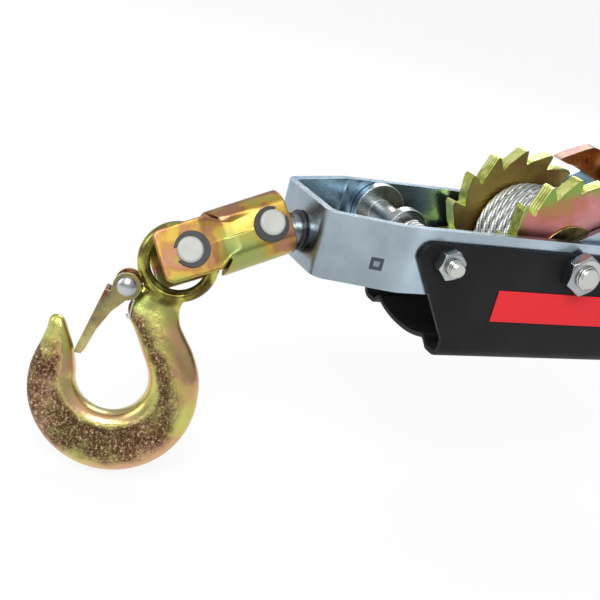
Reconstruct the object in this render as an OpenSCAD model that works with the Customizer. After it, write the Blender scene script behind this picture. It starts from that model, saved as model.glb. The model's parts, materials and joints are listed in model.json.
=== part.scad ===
// Come along winch: a hand ratchet puller with a swivelling anchor hook, a double ratchet drum
// of wire rope, a forked lever handle and a second hook on the rope's end.
// Millimetres. The origin is the middle of the drum axle, +X points the way the rope leaves,
// +Z is up and the near side is -Y.

/* [Frame strap] */
// Height of the bent steel strap
strap_h = 32; // [30:0.5:34]
// How far the strap's top edge stands above the axle
strap_top = 14; // [12:0.5:14]
// Thickness of the strap
strap_t = 4; // [3:0.5:4]
// Distance from the axle to the outside of the strap's nose
nose_reach = 139.5; // [139:0.5:145]
// Half width over the outside of the strap
strap_half = 36; // [36:0.5:36]

/* [Guard channel] */
// Plate thickness of the black guard
guard_t = 2.5; // [2:0.5:3]
// Depth of the guard's underside below the axle
guard_depth = 50.5; // [50:0.5:54]
// Half length of the guard along its top
guard_half_l = 95.5; // [94:0.5:98]

/* [Ratchet wheels] */
// Number of teeth on each wheel
teeth = 16; // [16:16:16]
// Radius over the tooth tips
tip_r = 44; // [43:0.5:44]
// Radius at the tooth roots
root_r = 36.5; // [36:0.5:37]
// Gap between the two wheels
drum_w = 39; // [38:0.5:39]
// Thickness of one wheel
wheel_t = 7.5; // [6:0.5:7.5]

/* [Wire rope] */
// Diameter of the rope
rope_d = 5; // [4.5:0.1:5]
// Turns in the outer layer on the drum
rope_turns = 6; // [4:1:6]
// Step of the turns along the drum
rope_pitch = 5.5; // [5.5:0.1:5.6]

/* [Lever] */
// Angle of the lever above +X at rest
lever_rest = 27.5; // [26:0.5:30]
// Length of the handle from the axle to its end
lever_l = 336; // [300:1:360]
// Diameter of the handle tube
tube_d = 22; // [20:1:24]
// Diameter of the rubber grip
grip_d = 30; // [28:1:32]

/* [Anchor clevis] */
// Distance from the axle to the clevis's own pin
clevis_x = 156.5; // [156.5:0.5:158]
// Tilt of the clevis below the frame's line
clevis_tilt = 23.6; // [20:0.2:24]
// Roll of the clevis about its length
clevis_roll = 32; // [28:1:32]
// Distance between the two clevis pins
pin_gap = 39.8; // [39.6:0.2:42]
// Diameter of the clevis pins
pin_d = 12; // [11.5:0.1:12]

/* [Hooks] */
// Radius of the throat of both hooks
throat_r = 16.6; // [15:0.2:17]
// Outer radius of the hook's bowl
bowl_r = 38.9; // [37:0.2:39]
// Half thickness of the hook at its bowl
bowl_t = 9; // [7:0.5:9]
// Turn of the anchor hook about the vertical
hook_turn = 24; // [22:1:26]
// Lean of the anchor hook
hook_lean = 10; // [8:1:12]

/* [Hidden] */
$fn = 72;

// Colours
BRIGHT_ZINC = [0.68, 0.73, 0.79];
YELLOW_ZINC = [0.72, 0.66, 0.35];
PINK_ZINC = [0.72, 0.48, 0.45];
BLACK_STEEL = [0.13, 0.13, 0.14];
RUBBER = [0.08, 0.08, 0.08];
ROPE_STEEL = [0.75, 0.76, 0.77];
LABEL_RED = [0.93, 0.30, 0.32];

// Fits and small gaps
run_gap = 0.05;
side_gap = 0.3;

// Frame strap
strap_bottom = strap_top - strap_h;
nose_half = 23.7;
bend_x = -101.5;
strap_inner = strap_half - strap_t;
strap_end_x = 60;
strap_mid_z = strap_top - strap_h / 2;

// Guard channel
guard_inner = strap_half;
guard_outer = guard_inner + guard_t;
guard_top = 8.5;
guard_corner_r = 7.5;
web_half_l = 69;
bead_h = 3.8;
bead_y = 22;
bead_side = 6;

// Bolts: diameter, size across flats, height of nut, length of the bare end, turn of the nut
front_x = -80.5;
rear_at = [56, -9];
front_m = [8, 13, 6.5, 5, 15];
axle_m = [12, 19, 6.5, 3, 30];
rear_m = [10, 17, 8, 4, 8];

// Wheels and drum
tip_angle = 96.75;
hub_r = 14;
wheel_in = drum_w / 2;
wheel_out = wheel_in + wheel_t;
rope_r = rope_d / 2;
core_r = 22.2;
wind_r = core_r + rope_r + 0.1;
washer_r = 20;
washer_t = 0.8;

// Lever
arm_t = 3.5;
arm_outer = strap_inner - 0.5;
arm_inner = arm_outer - arm_t;
arm_half_h = 12;
arm_nose = 104;
pawl_local = [69, 7];
pawl_at = [pawl_local[0] * cos(lever_rest) - pawl_local[1] * sin(lever_rest),
    pawl_local[0] * sin(lever_rest) + pawl_local[1] * cos(lever_rest)];
drive_lift = 7;
hold_lift = 12.5;
blade_in = wheel_in + side_gap;
blade_out = wheel_out - side_gap;
drive_pin_r = 4;
grip_from = 214;

// Clevis and hooks
swivel_z = -4.3;
pin_r = pin_d / 2;
clevis_at = [-clevis_x, 0, swivel_z];
hook_shift = 0.8;
hook_at = [-clevis_x - pin_gap * cos(clevis_tilt) - hook_shift * sin(clevis_roll) * sin(clevis_tilt),
    -hook_shift * cos(clevis_roll),
    swivel_z - pin_gap * sin(clevis_tilt) + hook_shift * sin(clevis_roll) * cos(clevis_tilt)];
stud_eye_r = 7.9;
eye_roll = 2.2 - clevis_roll;
clip_shift = 0.9;
cheek_out = 12.5;
cheek_in = 10;
body_r = 15.1;
body_t = 2.7;
cheek_z = 12.7;
cheek_end = 13.7;
eye_at = [-2, -4.5];
eye_r = 15.7;
eye_half_w = 2.9;
eye_half_t = 4;
throat_at = [-20.5, -62.5];
bowl_at = [-18.8, -68.3];
rivet_at = [-22, -19.3];
rivet_r = 2;

// Rope end
thimble_at = [146, 0, 20.5];
thimble_r = 9;
ferrule_x = [106, 129];
ferrule_gap = 2.6;
load_at = [thimble_at[0], 2, thimble_at[2] - 5.5 - eye_r - eye_at[1]];

// The free rope's route from the drum to the ferrule
free_route = [[17, 15.6, 24.9], [30, 14.2, 24.7], [42, 12.0, 24.3], [54, 9.4, 23.7],
    [66, 6.6, 22.9], [78, 3.9, 22.0], [90, 1.6, 21.2], [99, 0.3, 20.6], [105, 0, 20.5], [106, 0, 20.5]];

// ---- small functions ----
function arc(c, r, a0, a1, n) =
    [for (i = [0 : n]) c + r * [cos(a0 + (a1 - a0) * i / n), sin(a0 + (a1 - a0) * i / n)]];
function reversed(p) = [for (i = [len(p) - 1 : -1 : 0]) p[i]];
function flipped(p) = [for (q = reversed(p)) [q[0], -q[1]]];
function unit(v) = v / norm(v);
function heading(p, i) = unit(p[min(i + 1, len(p) - 1)] - p[max(i - 1, 0)]);

// Rings of n points, radius r, along the path p; side is a direction that the path never takes
function tube_points(p, r, n, side) =
    [for (i = [0 : len(p) - 1])
        let (t = heading(p, i), a = unit(cross(t, side)), b = cross(t, a))
        for (j = [0 : n - 1]) p[i] + r * (cos(360 * j / n) * a + sin(360 * j / n) * b)];

// Triangles between m rings of n points, with both ends closed
function tube_faces(m, n) = concat(
    [for (i = [0 : m - 2], j = [0 : n - 1]) [i * n + j, i * n + (j + 1) % n, (i + 1) * n + j]],
    [for (i = [0 : m - 2], j = [0 : n - 1])
        [i * n + (j + 1) % n, (i + 1) * n + (j + 1) % n, (i + 1) * n + j]],
    [for (j = [1 : n - 2]) [0, j + 1, j]],
    [for (j = [1 : n - 2]) [(m - 1) * n, (m - 1) * n + j, (m - 1) * n + j + 1]]);

// A coil about the Y axis from y0, with one straight tube diameter at each end
function coil_path(r, wire, y0, pitch, turns, rings, end_angle) =
    let (n = turns * rings,
        a0 = end_angle + 360 * turns,
        body = [for (i = [0 : n]) let (a = a0 - 360 * i / rings)
            [r * cos(a), y0 + pitch * i / rings, r * sin(a)]],
        first = body[0] - wire * [sin(a0), 0, -cos(a0)],
        last = body[n] + wire * [sin(end_angle), 0, -cos(end_angle)])
    concat([first], body, [last]);

// Least distance between neighbouring turns, wall to wall, measured on the path's points
function coil_gap(p, wire, rings) =
    min([for (i = [0 : len(p) - 1], k = [rings - 2 : rings + 2])
        if (i + k < len(p)) norm(p[i + k] - p[i]) - wire]);

// ---- shared shapes ----
module pair() {
    children();
    mirror([0, 1, 0]) children();
}

// A 2D shape in X and Z, given thickness from y0 to y1
module side_plate(y0, y1) {
    translate([0, y1, 0]) rotate([90, 0, 0]) linear_extrude(y1 - y0) children();
}

module cross_cylinder(r, y0, y1) {
    side_plate(y0, y1) circle(r);
}

module ring(r_out, r_in, y0, y1) {
    side_plate(y0, y1) difference() {
        circle(r_out);
        circle(r_in);
    }
}

// Plan of a strap bent to a blunt nose at -X; half its outer path, moved in by d
function strap_path(nose, corner, bend, half, end_x, r1, r2, d) =
    let (a = atan2(half - corner, bend - nose),
        c1 = [nose + r1, corner - r1 * (1 - sin(a)) / cos(a)],
        c2 = [bend + r2 * (1 - cos(a)) / sin(a), half - r2])
    concat(arc(c1, r1 - d, 180, 90 + a, 12), arc(c2, r2 - d, 90 + a, 90, 4),
        [[end_x, half - d]]);

module strap_plan(nose, corner, bend, half, end_x, t, r1, r2) {
    outer = strap_path(nose, corner, bend, half, end_x, r1, r2, 0);
    inner = strap_path(nose, corner, bend, half, end_x, r1, r2, t);
    polygon(concat(flipped(outer), outer, reversed(inner), flipped(reversed(inner))));
}

// Hexagon with its corners eased at the outer face, standing on the XY plane
module hex_block(af, h) {
    intersection() {
        cylinder(r = af / 2 / cos(30), h = h, $fn = 6);
        union() {
            cylinder(r = af * 0.6, h = h * 0.8);
            translate([0, 0, h * 0.8]) cylinder(r1 = af * 0.565, r2 = af * 0.48, h = h * 0.2);
        }
    }
}

// A bolt through both walls: head on the far side, bare end past the nut on the near side
module through_bolt(m, half) {
    cross_cylinder(m[0] / 2, -half - m[2] - m[3], half);
    translate([0, half, 0]) rotate([-90, 0, 0]) hex_block(m[1], m[2] * 0.85);
}

module through_nut(m, half) {
    difference() {
        translate([0, -half, 0]) rotate([90, 0, 0]) rotate(m[4]) hex_block(m[1], m[2]);
        cross_cylinder(m[0] / 2, -half - m[2] - 1, -half + 1);
    }
}

module wire_coil(path, wire) {
    polyhedron(points = tube_points(path, wire / 2, 6, [0, 1, 0]),
        faces = tube_faces(len(path), 6));
}

// ---- frame ----
module frame_strap() {
    color(BRIGHT_ZINC) difference() {
        intersection() {
            translate([0, 0, strap_bottom]) linear_extrude(strap_h)
                strap_plan(-nose_reach, nose_half, bend_x, strap_half, strap_end_x + strap_h,
                    strap_t, 8, 10);
            side_plate(-strap_half - 1, strap_half + 1) union() {
                translate([-nose_reach - 1, strap_bottom])
                    square([nose_reach + 1 + strap_end_x, strap_h]);
                translate([strap_end_x, strap_mid_z]) circle(strap_h / 2);
            }
        }
        cross_cylinder(axle_m[0] / 2, -strap_half - 1, strap_half + 1);
        translate([front_x, 0, 0])
            cross_cylinder(front_m[0] / 2, -strap_half - 1, strap_half + 1);
        translate([rear_at[0], 0, rear_at[1]])
            cross_cylinder(rear_m[0] / 2, -strap_half - 1, strap_half + 1);
        translate([-nose_reach - 1, 0, swivel_z]) rotate([0, 90, 0])
            cylinder(r = pin_r + run_gap, h = strap_t + 2);
    }
}

// Height of the web's upper face across the guard: a hanging curve between two lengthwise ridges
function web_z(y) = guard_t - guard_depth + bead_h
    * (abs(y) < bead_y ? pow(abs(y) / bead_y, 2.2)
    : abs(y) < bead_y + bead_side ? pow(cos(90 * (abs(y) - bead_y) / bead_side), 2) : 0);

module guard_section() {
    r = 6;
    corner = [guard_outer - r, -guard_depth + r];
    ys = [for (y = [-30 : 1 : 30]) y];
    outer = concat([[guard_outer, guard_top + 1]], arc(corner, r, 0, -90, 6));
    inner = concat([[guard_inner, guard_top + 1]], arc(corner, r - guard_t, 0, -90, 6));
    under = [for (y = reversed(ys)) [y, web_z(y) - guard_t]];
    over = [for (y = ys) [y, web_z(y)]];
    near_outer = [for (p = reversed(outer)) [-p[0], p[1]]];
    near_inner = [for (p = inner) [-p[0], p[1]]];
    polygon(concat(outer, under, near_outer, near_inner, over, reversed(inner)));
}

module guard_silhouette() {
    c = [guard_half_l - guard_corner_r, guard_top - guard_corner_r];
    front = concat(
        arc([-c[0], c[1]], guard_corner_r, 90, 190, 10),
        [[-web_half_l - 0.4, -guard_depth + 10], [-web_half_l, -guard_depth - 1]]);
    rear = [for (p = reversed(front)) [-p[0], p[1]]];
    polygon(concat(front, rear));
}

module guard_channel() {
    color(BLACK_STEEL) difference() {
        intersection() {
            translate([-guard_half_l - 2, 0, 0]) rotate([90, 0, 90])
                linear_extrude(2 * guard_half_l + 4) guard_section();
            side_plate(-guard_outer - 1, guard_outer + 1) guard_silhouette();
        }
        cross_cylinder(axle_m[0] / 2, -guard_outer - 1, guard_outer + 1);
        translate([front_x, 0, 0])
            cross_cylinder(front_m[0] / 2, -guard_outer - 1, guard_outer + 1);
        translate([rear_at[0], 0, rear_at[1]])
            cross_cylinder(rear_m[0] / 2, -guard_outer - 1, guard_outer + 1);
    }
}

module label_plate() {
    color(LABEL_RED) translate([-45, -guard_outer - 0.4, -29]) cube([90, 0.4, 16.5]);
}

module front_bolt() {
    color(BRIGHT_ZINC) translate([front_x, 0, 0]) through_bolt(front_m, guard_outer);
}

module front_nut() {
    color(BRIGHT_ZINC) translate([front_x, 0, 0]) through_nut(front_m, guard_outer);
}

// Flanged spacer on the front bolt: a large far flange, a tube and a smaller middle flange
module tie_spool() {
    color(BRIGHT_ZINC) translate([front_x, 0, 0]) difference() {
        union() {
            cross_cylinder(14, 27, 31.5);
            cross_cylinder(12, 31.5, strap_inner);
            cross_cylinder(6.2, 3, 28);
            cross_cylinder(11.3, -1, 4);
        }
        cross_cylinder(front_m[0] / 2, -5, strap_inner + 1);
    }
}

tie_wire = 2;
tie_path = coil_path(6.6, tie_wire, -strap_inner + 1.4, 2.9, 9, 8, 90);
module tie_spring() {
    color(ROPE_STEEL) translate([front_x, 0, 0]) wire_coil(tie_path, tie_wire);
}

module axle_bolt() {
    color(BRIGHT_ZINC) through_bolt(axle_m, guard_outer);
}

module axle_nut() {
    color(BRIGHT_ZINC) through_nut(axle_m, guard_outer);
}

module rear_bolt() {
    color(BRIGHT_ZINC) translate([rear_at[0], 0, rear_at[1]]) through_bolt(rear_m, guard_outer);
}

module rear_nut() {
    color(BRIGHT_ZINC) translate([rear_at[0], 0, rear_at[1]]) through_nut(rear_m, guard_outer);
}

module rear_spacers() {
    color(BRIGHT_ZINC) translate([rear_at[0], 0, rear_at[1]]) pair()
        ring(8, rear_m[0] / 2, wheel_out + side_gap, strap_inner);
}

// ---- drum ----
// Each tooth has a radial face on its clockwise side and a straight back
module ratchet_plan() {
    polygon([for (k = [0 : teeth - 1], r = [root_r, tip_r])
        let (a = tip_angle + 360 * k / teeth) r * [cos(a), sin(a)]]);
}

module ratchet_wheel() {
    side_plate(wheel_in, wheel_out) difference() {
        ratchet_plan();
        circle(hub_r);
    }
}

module ratchet_wheel_far() {
    color(YELLOW_ZINC) ratchet_wheel();
}

module ratchet_wheel_near() {
    color(PINK_ZINC) translate([0, -wheel_in - wheel_out, 0]) ratchet_wheel();
}

module drum_hub() {
    color(YELLOW_ZINC) ring(hub_r, axle_m[0] / 2 + run_gap, -wheel_out, wheel_out);
}

module thrust_washers() {
    color(YELLOW_ZINC) pair()
        ring(washer_r, axle_m[0] / 2 + run_gap, wheel_out, wheel_out + washer_t);
}

// The rope's inner layers
module rope_core() {
    color(ROPE_STEEL) ring(core_r, hub_r, -wheel_in, wheel_in);
}

// The rope's outer layer: one tube that winds across the drum and leaves at the top
wind_rings = 24;
wind_path = coil_path(wind_r, rope_d, -rope_pitch * rope_turns / 2, rope_pitch, rope_turns,
    wind_rings, 90);
module rope_winding() {
    color(ROPE_STEEL) wire_coil(wind_path, rope_d);
}

// ---- lever ----
module at_lever() {
    rotate([0, -lever_rest, 0]) children();
}

module lever_silhouette() {
    circle(arm_half_h + 1);
    translate([0, -arm_half_h]) square([arm_nose + 5, 2 * arm_half_h]);
    translate(pawl_local) circle(10.5);
}

module lever_fork() {
    color(BRIGHT_ZINC) at_lever() difference() {
        intersection() {
            translate([0, 0, -arm_half_h - 8]) linear_extrude(2 * arm_half_h + 16)
                mirror([1, 0, 0]) strap_plan(-arm_nose, 15, -80, arm_outer, arm_half_h + 2,
                    arm_t, 7, 10);
            side_plate(-strap_half, strap_half) lever_silhouette();
        }
        cross_cylinder(axle_m[0] / 2 + run_gap, -strap_half, strap_half);
        translate([pawl_local[0], 0, pawl_local[1]])
            cross_cylinder(drive_pin_r, -strap_half, strap_half);
    }
}

module lever_tube() {
    color(BRIGHT_ZINC) at_lever() translate([arm_nose, 0, 0]) rotate([0, 90, 0]) difference() {
        cylinder(r = tube_d / 2, h = lever_l - arm_nose - 6);
        translate([0, 0, -1]) cylinder(r = tube_d / 2 - 2, h = lever_l);
    }
}

// Rubber sleeve with a flared collar, finger rings and a rounded closed end
module lever_grip() {
    r = grip_d / 2;
    l = lever_l - grip_from;
    rings = [for (x = [14 : 8 : l - 24]) each [[r - 0.4, x], [r - 2, x + 1.5], [r - 2, x + 3],
        [r - 0.4, x + 4.5]]];
    profile = concat([[tube_d / 2, 0], [r + 2, 0], [r + 2.6, 1.5], [r + 2, 4], [r - 0.4, 7]],
        rings, [[r, l - 12]], arc([r - 6, l - 6], 6, 0, 90, 6), [[0, l], [0, l - 5.9],
        [tube_d / 2, l - 5.9]]);
    color(RUBBER) at_lever() translate([grip_from, 0, 0]) rotate([0, 90, 0])
        rotate_extrude() polygon(profile);
}

module at_pawl() {
    translate([pawl_at[0], 0, pawl_at[1]]) children();
}

module pawl_pin() {
    color(BRIGHT_ZINC) at_pawl() {
        cross_cylinder(drive_pin_r, -arm_outer - 2.6, arm_outer + 1);
        cross_cylinder(6.5, arm_outer, arm_outer + 3);
    }
}

module pawl_clip() {
    color(BLACK_STEEL) at_pawl() difference() {
        ring(6.6, drive_pin_r, -arm_outer - 1.2, -arm_outer);
        translate([0, -arm_outer - 2, -1.2]) cube([10, 3, 2.4]);
    }
}

// Blade outline about its pivot, as it sits in the teeth: a flat nose, a humped back, a round boss
module drive_blade() {
    circle(8.5);
    polygon([[-40.9, -1.6], [-39.4, -2.2], [-35.6, -2.7], [-28.5, -2.8], [-20.4, -4.8],
        [-13.9, -6.4], [-5.4, -6.6], [0, 0], [-2, 8.26], [-10.4, 8.6], [-19.5, 9.7],
        [-23.1, 9.4], [-28.8, 6.3], [-38.8, 0.2]]);
}

module drive_pawl() {
    color(YELLOW_ZINC) at_pawl() rotate([0, drive_lift, 0]) difference() {
        union() {
            pair() side_plate(blade_in, blade_out) drive_blade();
            cross_cylinder(6.3, -blade_in - 1, blade_in + 1);
            pair() translate([-21, 0, 3.2]) cross_cylinder(3, blade_in - 0.8, blade_in + 1);
        }
        cross_cylinder(drive_pin_r + run_gap, -blade_out - 1, blade_out + 1);
    }
}

drive_wire = 1.4;
drive_path = coil_path(8, drive_wire, 5, 2, 5, 8, 90);
module drive_pawl_spring() {
    color(ROPE_STEEL) at_pawl() wire_coil(drive_path, drive_wire);
}

// Blade outline about its pivot, as it holds the wheel: its tip meets a tooth's radial face
module holding_blade() {
    circle(9);
    polygon([[-22.2, 25.8], [-11.4, 14.6], [-8.4, 3.2], [0, 0], [7.2, 5.4], [5.4, 15],
        [-3, 24.5], [-14.4, 30.2]]);
}

module holding_pawl() {
    color(YELLOW_ZINC) translate([rear_at[0], 0, rear_at[1]]) rotate([0, hold_lift, 0])
        difference() {
            union() {
                pair() side_plate(blade_in, blade_out) holding_blade();
                cross_cylinder(7.2, -blade_in - 1, blade_in + 1);
            }
            cross_cylinder(rear_m[0] / 2 + run_gap, -blade_out - 1, blade_out + 1);
        }
}

hold_wire = 1.5;
hold_path = coil_path(9, hold_wire, 5, 2.1, 5, 8, 90);
module holding_pawl_spring() {
    color(ROPE_STEEL) translate([rear_at[0], 0, rear_at[1]]) wire_coil(hold_path, hold_wire);
}

// ---- swivel and clevis ----
module swivel_stud() {
    shank = [[0, 8.2], [pin_r, 8.2], [pin_r, 12], [7.8, 12], [7.8, 15.5], [pin_r, 15.5],
        [pin_r, 29], [pin_r - 0.8, 29.8], [0, 29.8]];
    color(BRIGHT_ZINC) translate(clevis_at) difference() {
        union() {
            rotate([eye_roll, 0, 0]) cross_cylinder(10.3, -6.5, 6.5);
            rotate([0, 90, 0]) rotate_extrude() polygon(shank);
        }
        rotate([eye_roll, 0, 0]) cross_cylinder(stud_eye_r, -8, 8);
    }
}

module stud_nut() {
    color(BRIGHT_ZINC) translate([-nose_reach + strap_t + 0.2, 0, swivel_z]) rotate([0, 90, 0])
        difference() {
            hex_block(18, 7);
            translate([0, 0, -1]) cylinder(r = pin_r, h = 9);
        }
}

module nose_washer() {
    color(BLACK_STEEL) translate([-nose_reach - 1.45, 0, swivel_z]) rotate([0, 90, 0])
        difference() {
            cylinder(r = 9.5, h = 1.4);
            translate([0, 0, -1]) cylinder(r = pin_r, h = 4);
        }
}

module at_clevis() {
    translate(clevis_at) rotate([0, -clevis_tilt, 0]) rotate([-clevis_roll, 0, 0]) children();
}

module flattened_round(r, half_y) {
    intersection() {
        circle(r);
        square([2 * half_y, 3 * r], center = true);
    }
}

// Rolled yoke: a flattened tube towards the nose, two flat cheeks towards the hook
module clevis_yoke() {
    body_from = -26;
    body_to = 9;
    round_r = 4;
    bottom = -cheek_z + 0.9;
    ring_room = 19.7;
    cheek_x = -pin_gap - cheek_end;
    color(YELLOW_ZINC) at_clevis() difference() {
        union() {
            translate([body_from, 0, 0]) rotate([90, 0, 90])
                linear_extrude(body_to - body_from) difference() {
                    flattened_round(body_r, cheek_out);
                    flattened_round(body_r - body_t, cheek_in);
                }
            pair() side_plate(cheek_in, cheek_out) polygon(concat(
                [[body_from + 3, -cheek_z], [body_from + 3, cheek_z]],
                arc([cheek_x + 3, cheek_z - 3], 3, 90, 180, 6),
                arc([cheek_x + round_r - 0.8, bottom + round_r], round_r, 180, 270, 8)));
        }
        cross_cylinder(pin_r, -body_r, body_r);
        translate([-pin_gap, 0, 0]) {
            cross_cylinder(pin_r, -body_r, body_r);
            cross_cylinder(ring_room, -cheek_in, cheek_in);
        }
    }
}

module clevis_pins() {
    color([0.9, 0.9, 0.88]) at_clevis() for (x = [0, -pin_gap]) translate([x, 0, 0]) {
        cross_cylinder(pin_r, -cheek_out - 1.2, cheek_out + 1.2);
        pair() translate([0, cheek_out + 1.2, 0]) rotate([-90, 0, 0])
            cylinder(r1 = pin_r, r2 = pin_r - 0.8, h = 0.8);
    }
}

module retaining_clips() {
    open_at = [215, 0];
    color(BLACK_STEEL) at_clevis() for (i = [0, 1]) translate([-pin_gap * i, 0, 0]) pair()
        side_plate(cheek_out, cheek_out + 1) rotate(open_at[i]) difference() {
            translate([clip_shift, 0]) circle(pin_r + 2.2);
            circle(pin_r);
            translate([-pin_r - 4, -3]) square([pin_r, 6]);
        }
}

// ---- hooks ----
// Hook frame: X across the hook, Z up its shank, the eye's pin along Y at the origin
module at_anchor_hook() {
    translate(hook_at) rotate([0, 0, -hook_turn]) rotate([-hook_lean, 0, 0]) children();
}

module at_load_hook() {
    translate(load_at) rotate([0, 0, 90]) children();
}

// Where a ray from the throat's centre at angle a leaves the bowl's outer circle
function bowl_edge(a) =
    let (d = [cos(a), sin(a)], w = throat_at - bowl_at, b = w * d,
        k = -b + sqrt(b * b + bowl_r * bowl_r - w * w))
    throat_at + k * d;

// Sections of the hook from its neck to its tip: inner point, outer point, half thickness
neck_sections = [[[-14.5, -20], [5, -18.5], 4.2], [[-19.5, -27], [3.2, -25.5], 5.4],
    [[-19.2, -32.5], [4.8, -32.7], 7], [[-15, -38.7], [8.4, -38], 8.2],
    [[-9.8, -47.6], [13.6, -44.8], 8.8], [[-5.2, -56], [18.6, -53.6], bowl_t]];
bowl_sections = [for (i = [0 : 12])
    let (a = -15 * i) [throat_at + throat_r * [cos(a), sin(a)], bowl_edge(a),
        bowl_t - 2.4 * pow(i / 12, 3)]];
tip_sections = [[[-39.9, -53.5], [-54.9, -53.3], 5.6], [[-43, -47], [-53.4, -46.8], 4.6],
    [[-45.6, -42.2], [-53, -42.2], 3.4], [[-47.6, -39.8], [-51.6, -39.8], 1.7]];
hook_sections = concat(neck_sections, bowl_sections, tip_sections);
section_n = 16;
hook_points = [for (s = hook_sections, j = [0 : section_n - 1])
    let (m = (s[0] + s[1]) / 2, h = (s[1] - s[0]) / 2, c = cos(360 * j / section_n))
    [m[0] + c * h[0], s[2] * sin(360 * j / section_n), m[1] + c * h[1]]];

module hook_casting() {
    difference() {
        union() {
            polyhedron(points = hook_points, faces = tube_faces(len(hook_sections), section_n));
            translate([eye_at[0], 0, eye_at[1]]) rotate([90, 0, 0]) rotate_extrude()
                polygon([for (a = [0 : 15 : 345])
                    [eye_r + eye_half_w * cos(a), eye_half_t * sin(a)]]);
            side_plate(-2.5, 2.5) union() {
                translate(rivet_at) circle(4.8);
                translate(rivet_at) rotate(-30) translate([0, -4.8]) square([11, 9.6]);
            }
        }
        translate([rivet_at[0], 0, rivet_at[1]]) cross_cylinder(rivet_r, -4, 4);
    }
}

// Sheet latch: a round head on the rivet, tapering to the hook's tip
module latch_outline() {
    translate(rivet_at) circle(6.3);
    polygon([[-27.9, -17.2], [-28.8, -22.6], [-31.3, -22.4], [-39.3, -53.6], [-35.9, -53.6], [-34.4, -50.9],
        [-31.4, -41.5], [-26.4, -31.7], [-21, -25.4], rivet_at]);
}

module latch_shape() {
    half = 6.8;
    sheet = 1.2;
    difference() {
        side_plate(-half, half) latch_outline();
        side_plate(sheet - half, half - sheet) union() {
            translate(rivet_at) circle(7);
            polygon([[-28, -21.8], [-30, -22.8], [-37.9, -54.2], [-33, -54.2],
                [-18, -28], [-14, -20]]);
        }
        translate([rivet_at[0], 0, rivet_at[1]]) cross_cylinder(rivet_r + run_gap, -8, 8);
    }
}

module latch_rivet_shape() {
    dome = 3.2;
    translate([rivet_at[0], 0, rivet_at[1]]) {
        cross_cylinder(rivet_r, -7.2, 7.2);
        pair() intersection() {
            cross_cylinder(4.6, 7.1, 9.5);
            translate([0, 8.8 - 2 * dome, 0]) sphere(r = 2 * dome);
        }
    }
}

latch_wire = 0.9;
latch_path = coil_path(3.5, latch_wire, 3.1, 1.4, 1, 8, 90);
module latch_spring_shape() {
    translate([rivet_at[0], 0, rivet_at[1]]) wire_coil(latch_path, latch_wire);
}

module anchor_hook() {
    color(YELLOW_ZINC) at_anchor_hook() hook_casting();
}

module anchor_latch() {
    color(YELLOW_ZINC) at_anchor_hook() latch_shape();
}

module anchor_latch_rivet() {
    color(BRIGHT_ZINC) at_anchor_hook() latch_rivet_shape();
}

module anchor_latch_spring() {
    color(ROPE_STEEL) at_anchor_hook() latch_spring_shape();
}

module load_hook() {
    color(YELLOW_ZINC) at_load_hook() hook_casting();
}

module load_latch() {
    color(YELLOW_ZINC) at_load_hook() latch_shape();
}

module load_latch_rivet() {
    color(BRIGHT_ZINC) at_load_hook() latch_rivet_shape();
}

module load_latch_spring() {
    color(ROPE_STEEL) at_load_hook() latch_spring_shape();
}

// ---- rope end ----
module rope_free() {
    color(ROPE_STEEL) polyhedron(points = tube_points(free_route, rope_r, 8, [0, 0, 1]),
        faces = tube_faces(len(free_route), 8));
}

module rope_ferrule() {
    r = rope_r + 1.6;
    color(BRIGHT_ZINC) translate([ferrule_x[0], 0, thimble_at[2]]) rotate([90, 0, 90])
        linear_extrude(ferrule_x[1] - ferrule_x[0]) union() {
            for (z = [-1, 1]) translate([0, z * ferrule_gap]) circle(r);
            square([2 * r, 2 * ferrule_gap], center = true);
        }
}

// Grooved ring that carries the rope's eye
module rope_thimble() {
    color(BRIGHT_ZINC) translate(thimble_at) rotate([90, 0, 0]) rotate_extrude()
        polygon([[thimble_r, -2], [thimble_r + 0.4, -2.7], [thimble_r + 4, -3.5],
            [thimble_r + 4, -2.7], [thimble_r + 1, -1.9], [thimble_r + 1, 1.9],
            [thimble_r + 4, 2.7], [thimble_r + 4, 3.5], [thimble_r + 0.4, 2.7],
            [thimble_r, 2]]);
}

// The rope's loop round the thimble, from the ferrule and back
loop_r = thimble_r + 1 + rope_r + 0.3;
module rope_eye() {
    from = ferrule_x[1] - thimble_at[0];
    leg = [[from, ferrule_gap], [from + 1, ferrule_gap], [from + 3, 3.4]];
    flat = concat(leg, arc([0, 0], loop_r, 138, -138, 22), flipped(leg));
    path = [for (p = flat) [p[0], 0, p[1]]];
    color(ROPE_STEEL) translate(thimble_at)
        polyhedron(points = tube_points(path, rope_r, 8, [0, 1, 0]),
            faces = tube_faces(len(path), 8));
}

echo(rope_winding_gap = coil_gap(wind_path, rope_d, wind_rings));
echo(tie_spring_gap = coil_gap(tie_path, tie_wire, 8));
echo(drive_spring_gap = coil_gap(drive_path, drive_wire, 8));
echo(holding_spring_gap = coil_gap(hold_path, hold_wire, 8));

frame_strap();
guard_channel();
label_plate();
front_bolt();
front_nut();
tie_spool();
tie_spring();
axle_bolt();
axle_nut();
rear_bolt();
rear_nut();
rear_spacers();
ratchet_wheel_near();
ratchet_wheel_far();
drum_hub();
thrust_washers();
rope_core();
rope_winding();
lever_fork();
lever_tube();
lever_grip();
pawl_pin();
pawl_clip();
drive_pawl();
drive_pawl_spring();
holding_pawl();
holding_pawl_spring();
swivel_stud();
stud_nut();
nose_washer();
clevis_yoke();
clevis_pins();
retaining_clips();
anchor_hook();
anchor_latch();
anchor_latch_rivet();
anchor_latch_spring();
rope_free();
rope_ferrule();
rope_thimble();
rope_eye();
load_hook();
load_latch();
load_latch_rivet();
load_latch_spring();
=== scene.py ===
"""Looks of the come along winch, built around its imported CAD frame.

The frame's axes: origin on the drum's axle, X towards the load hook, Y across the winch away
from the nut side, Z up. Lengths below are in millimetres unless a name says metres.
"""

import json

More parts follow.
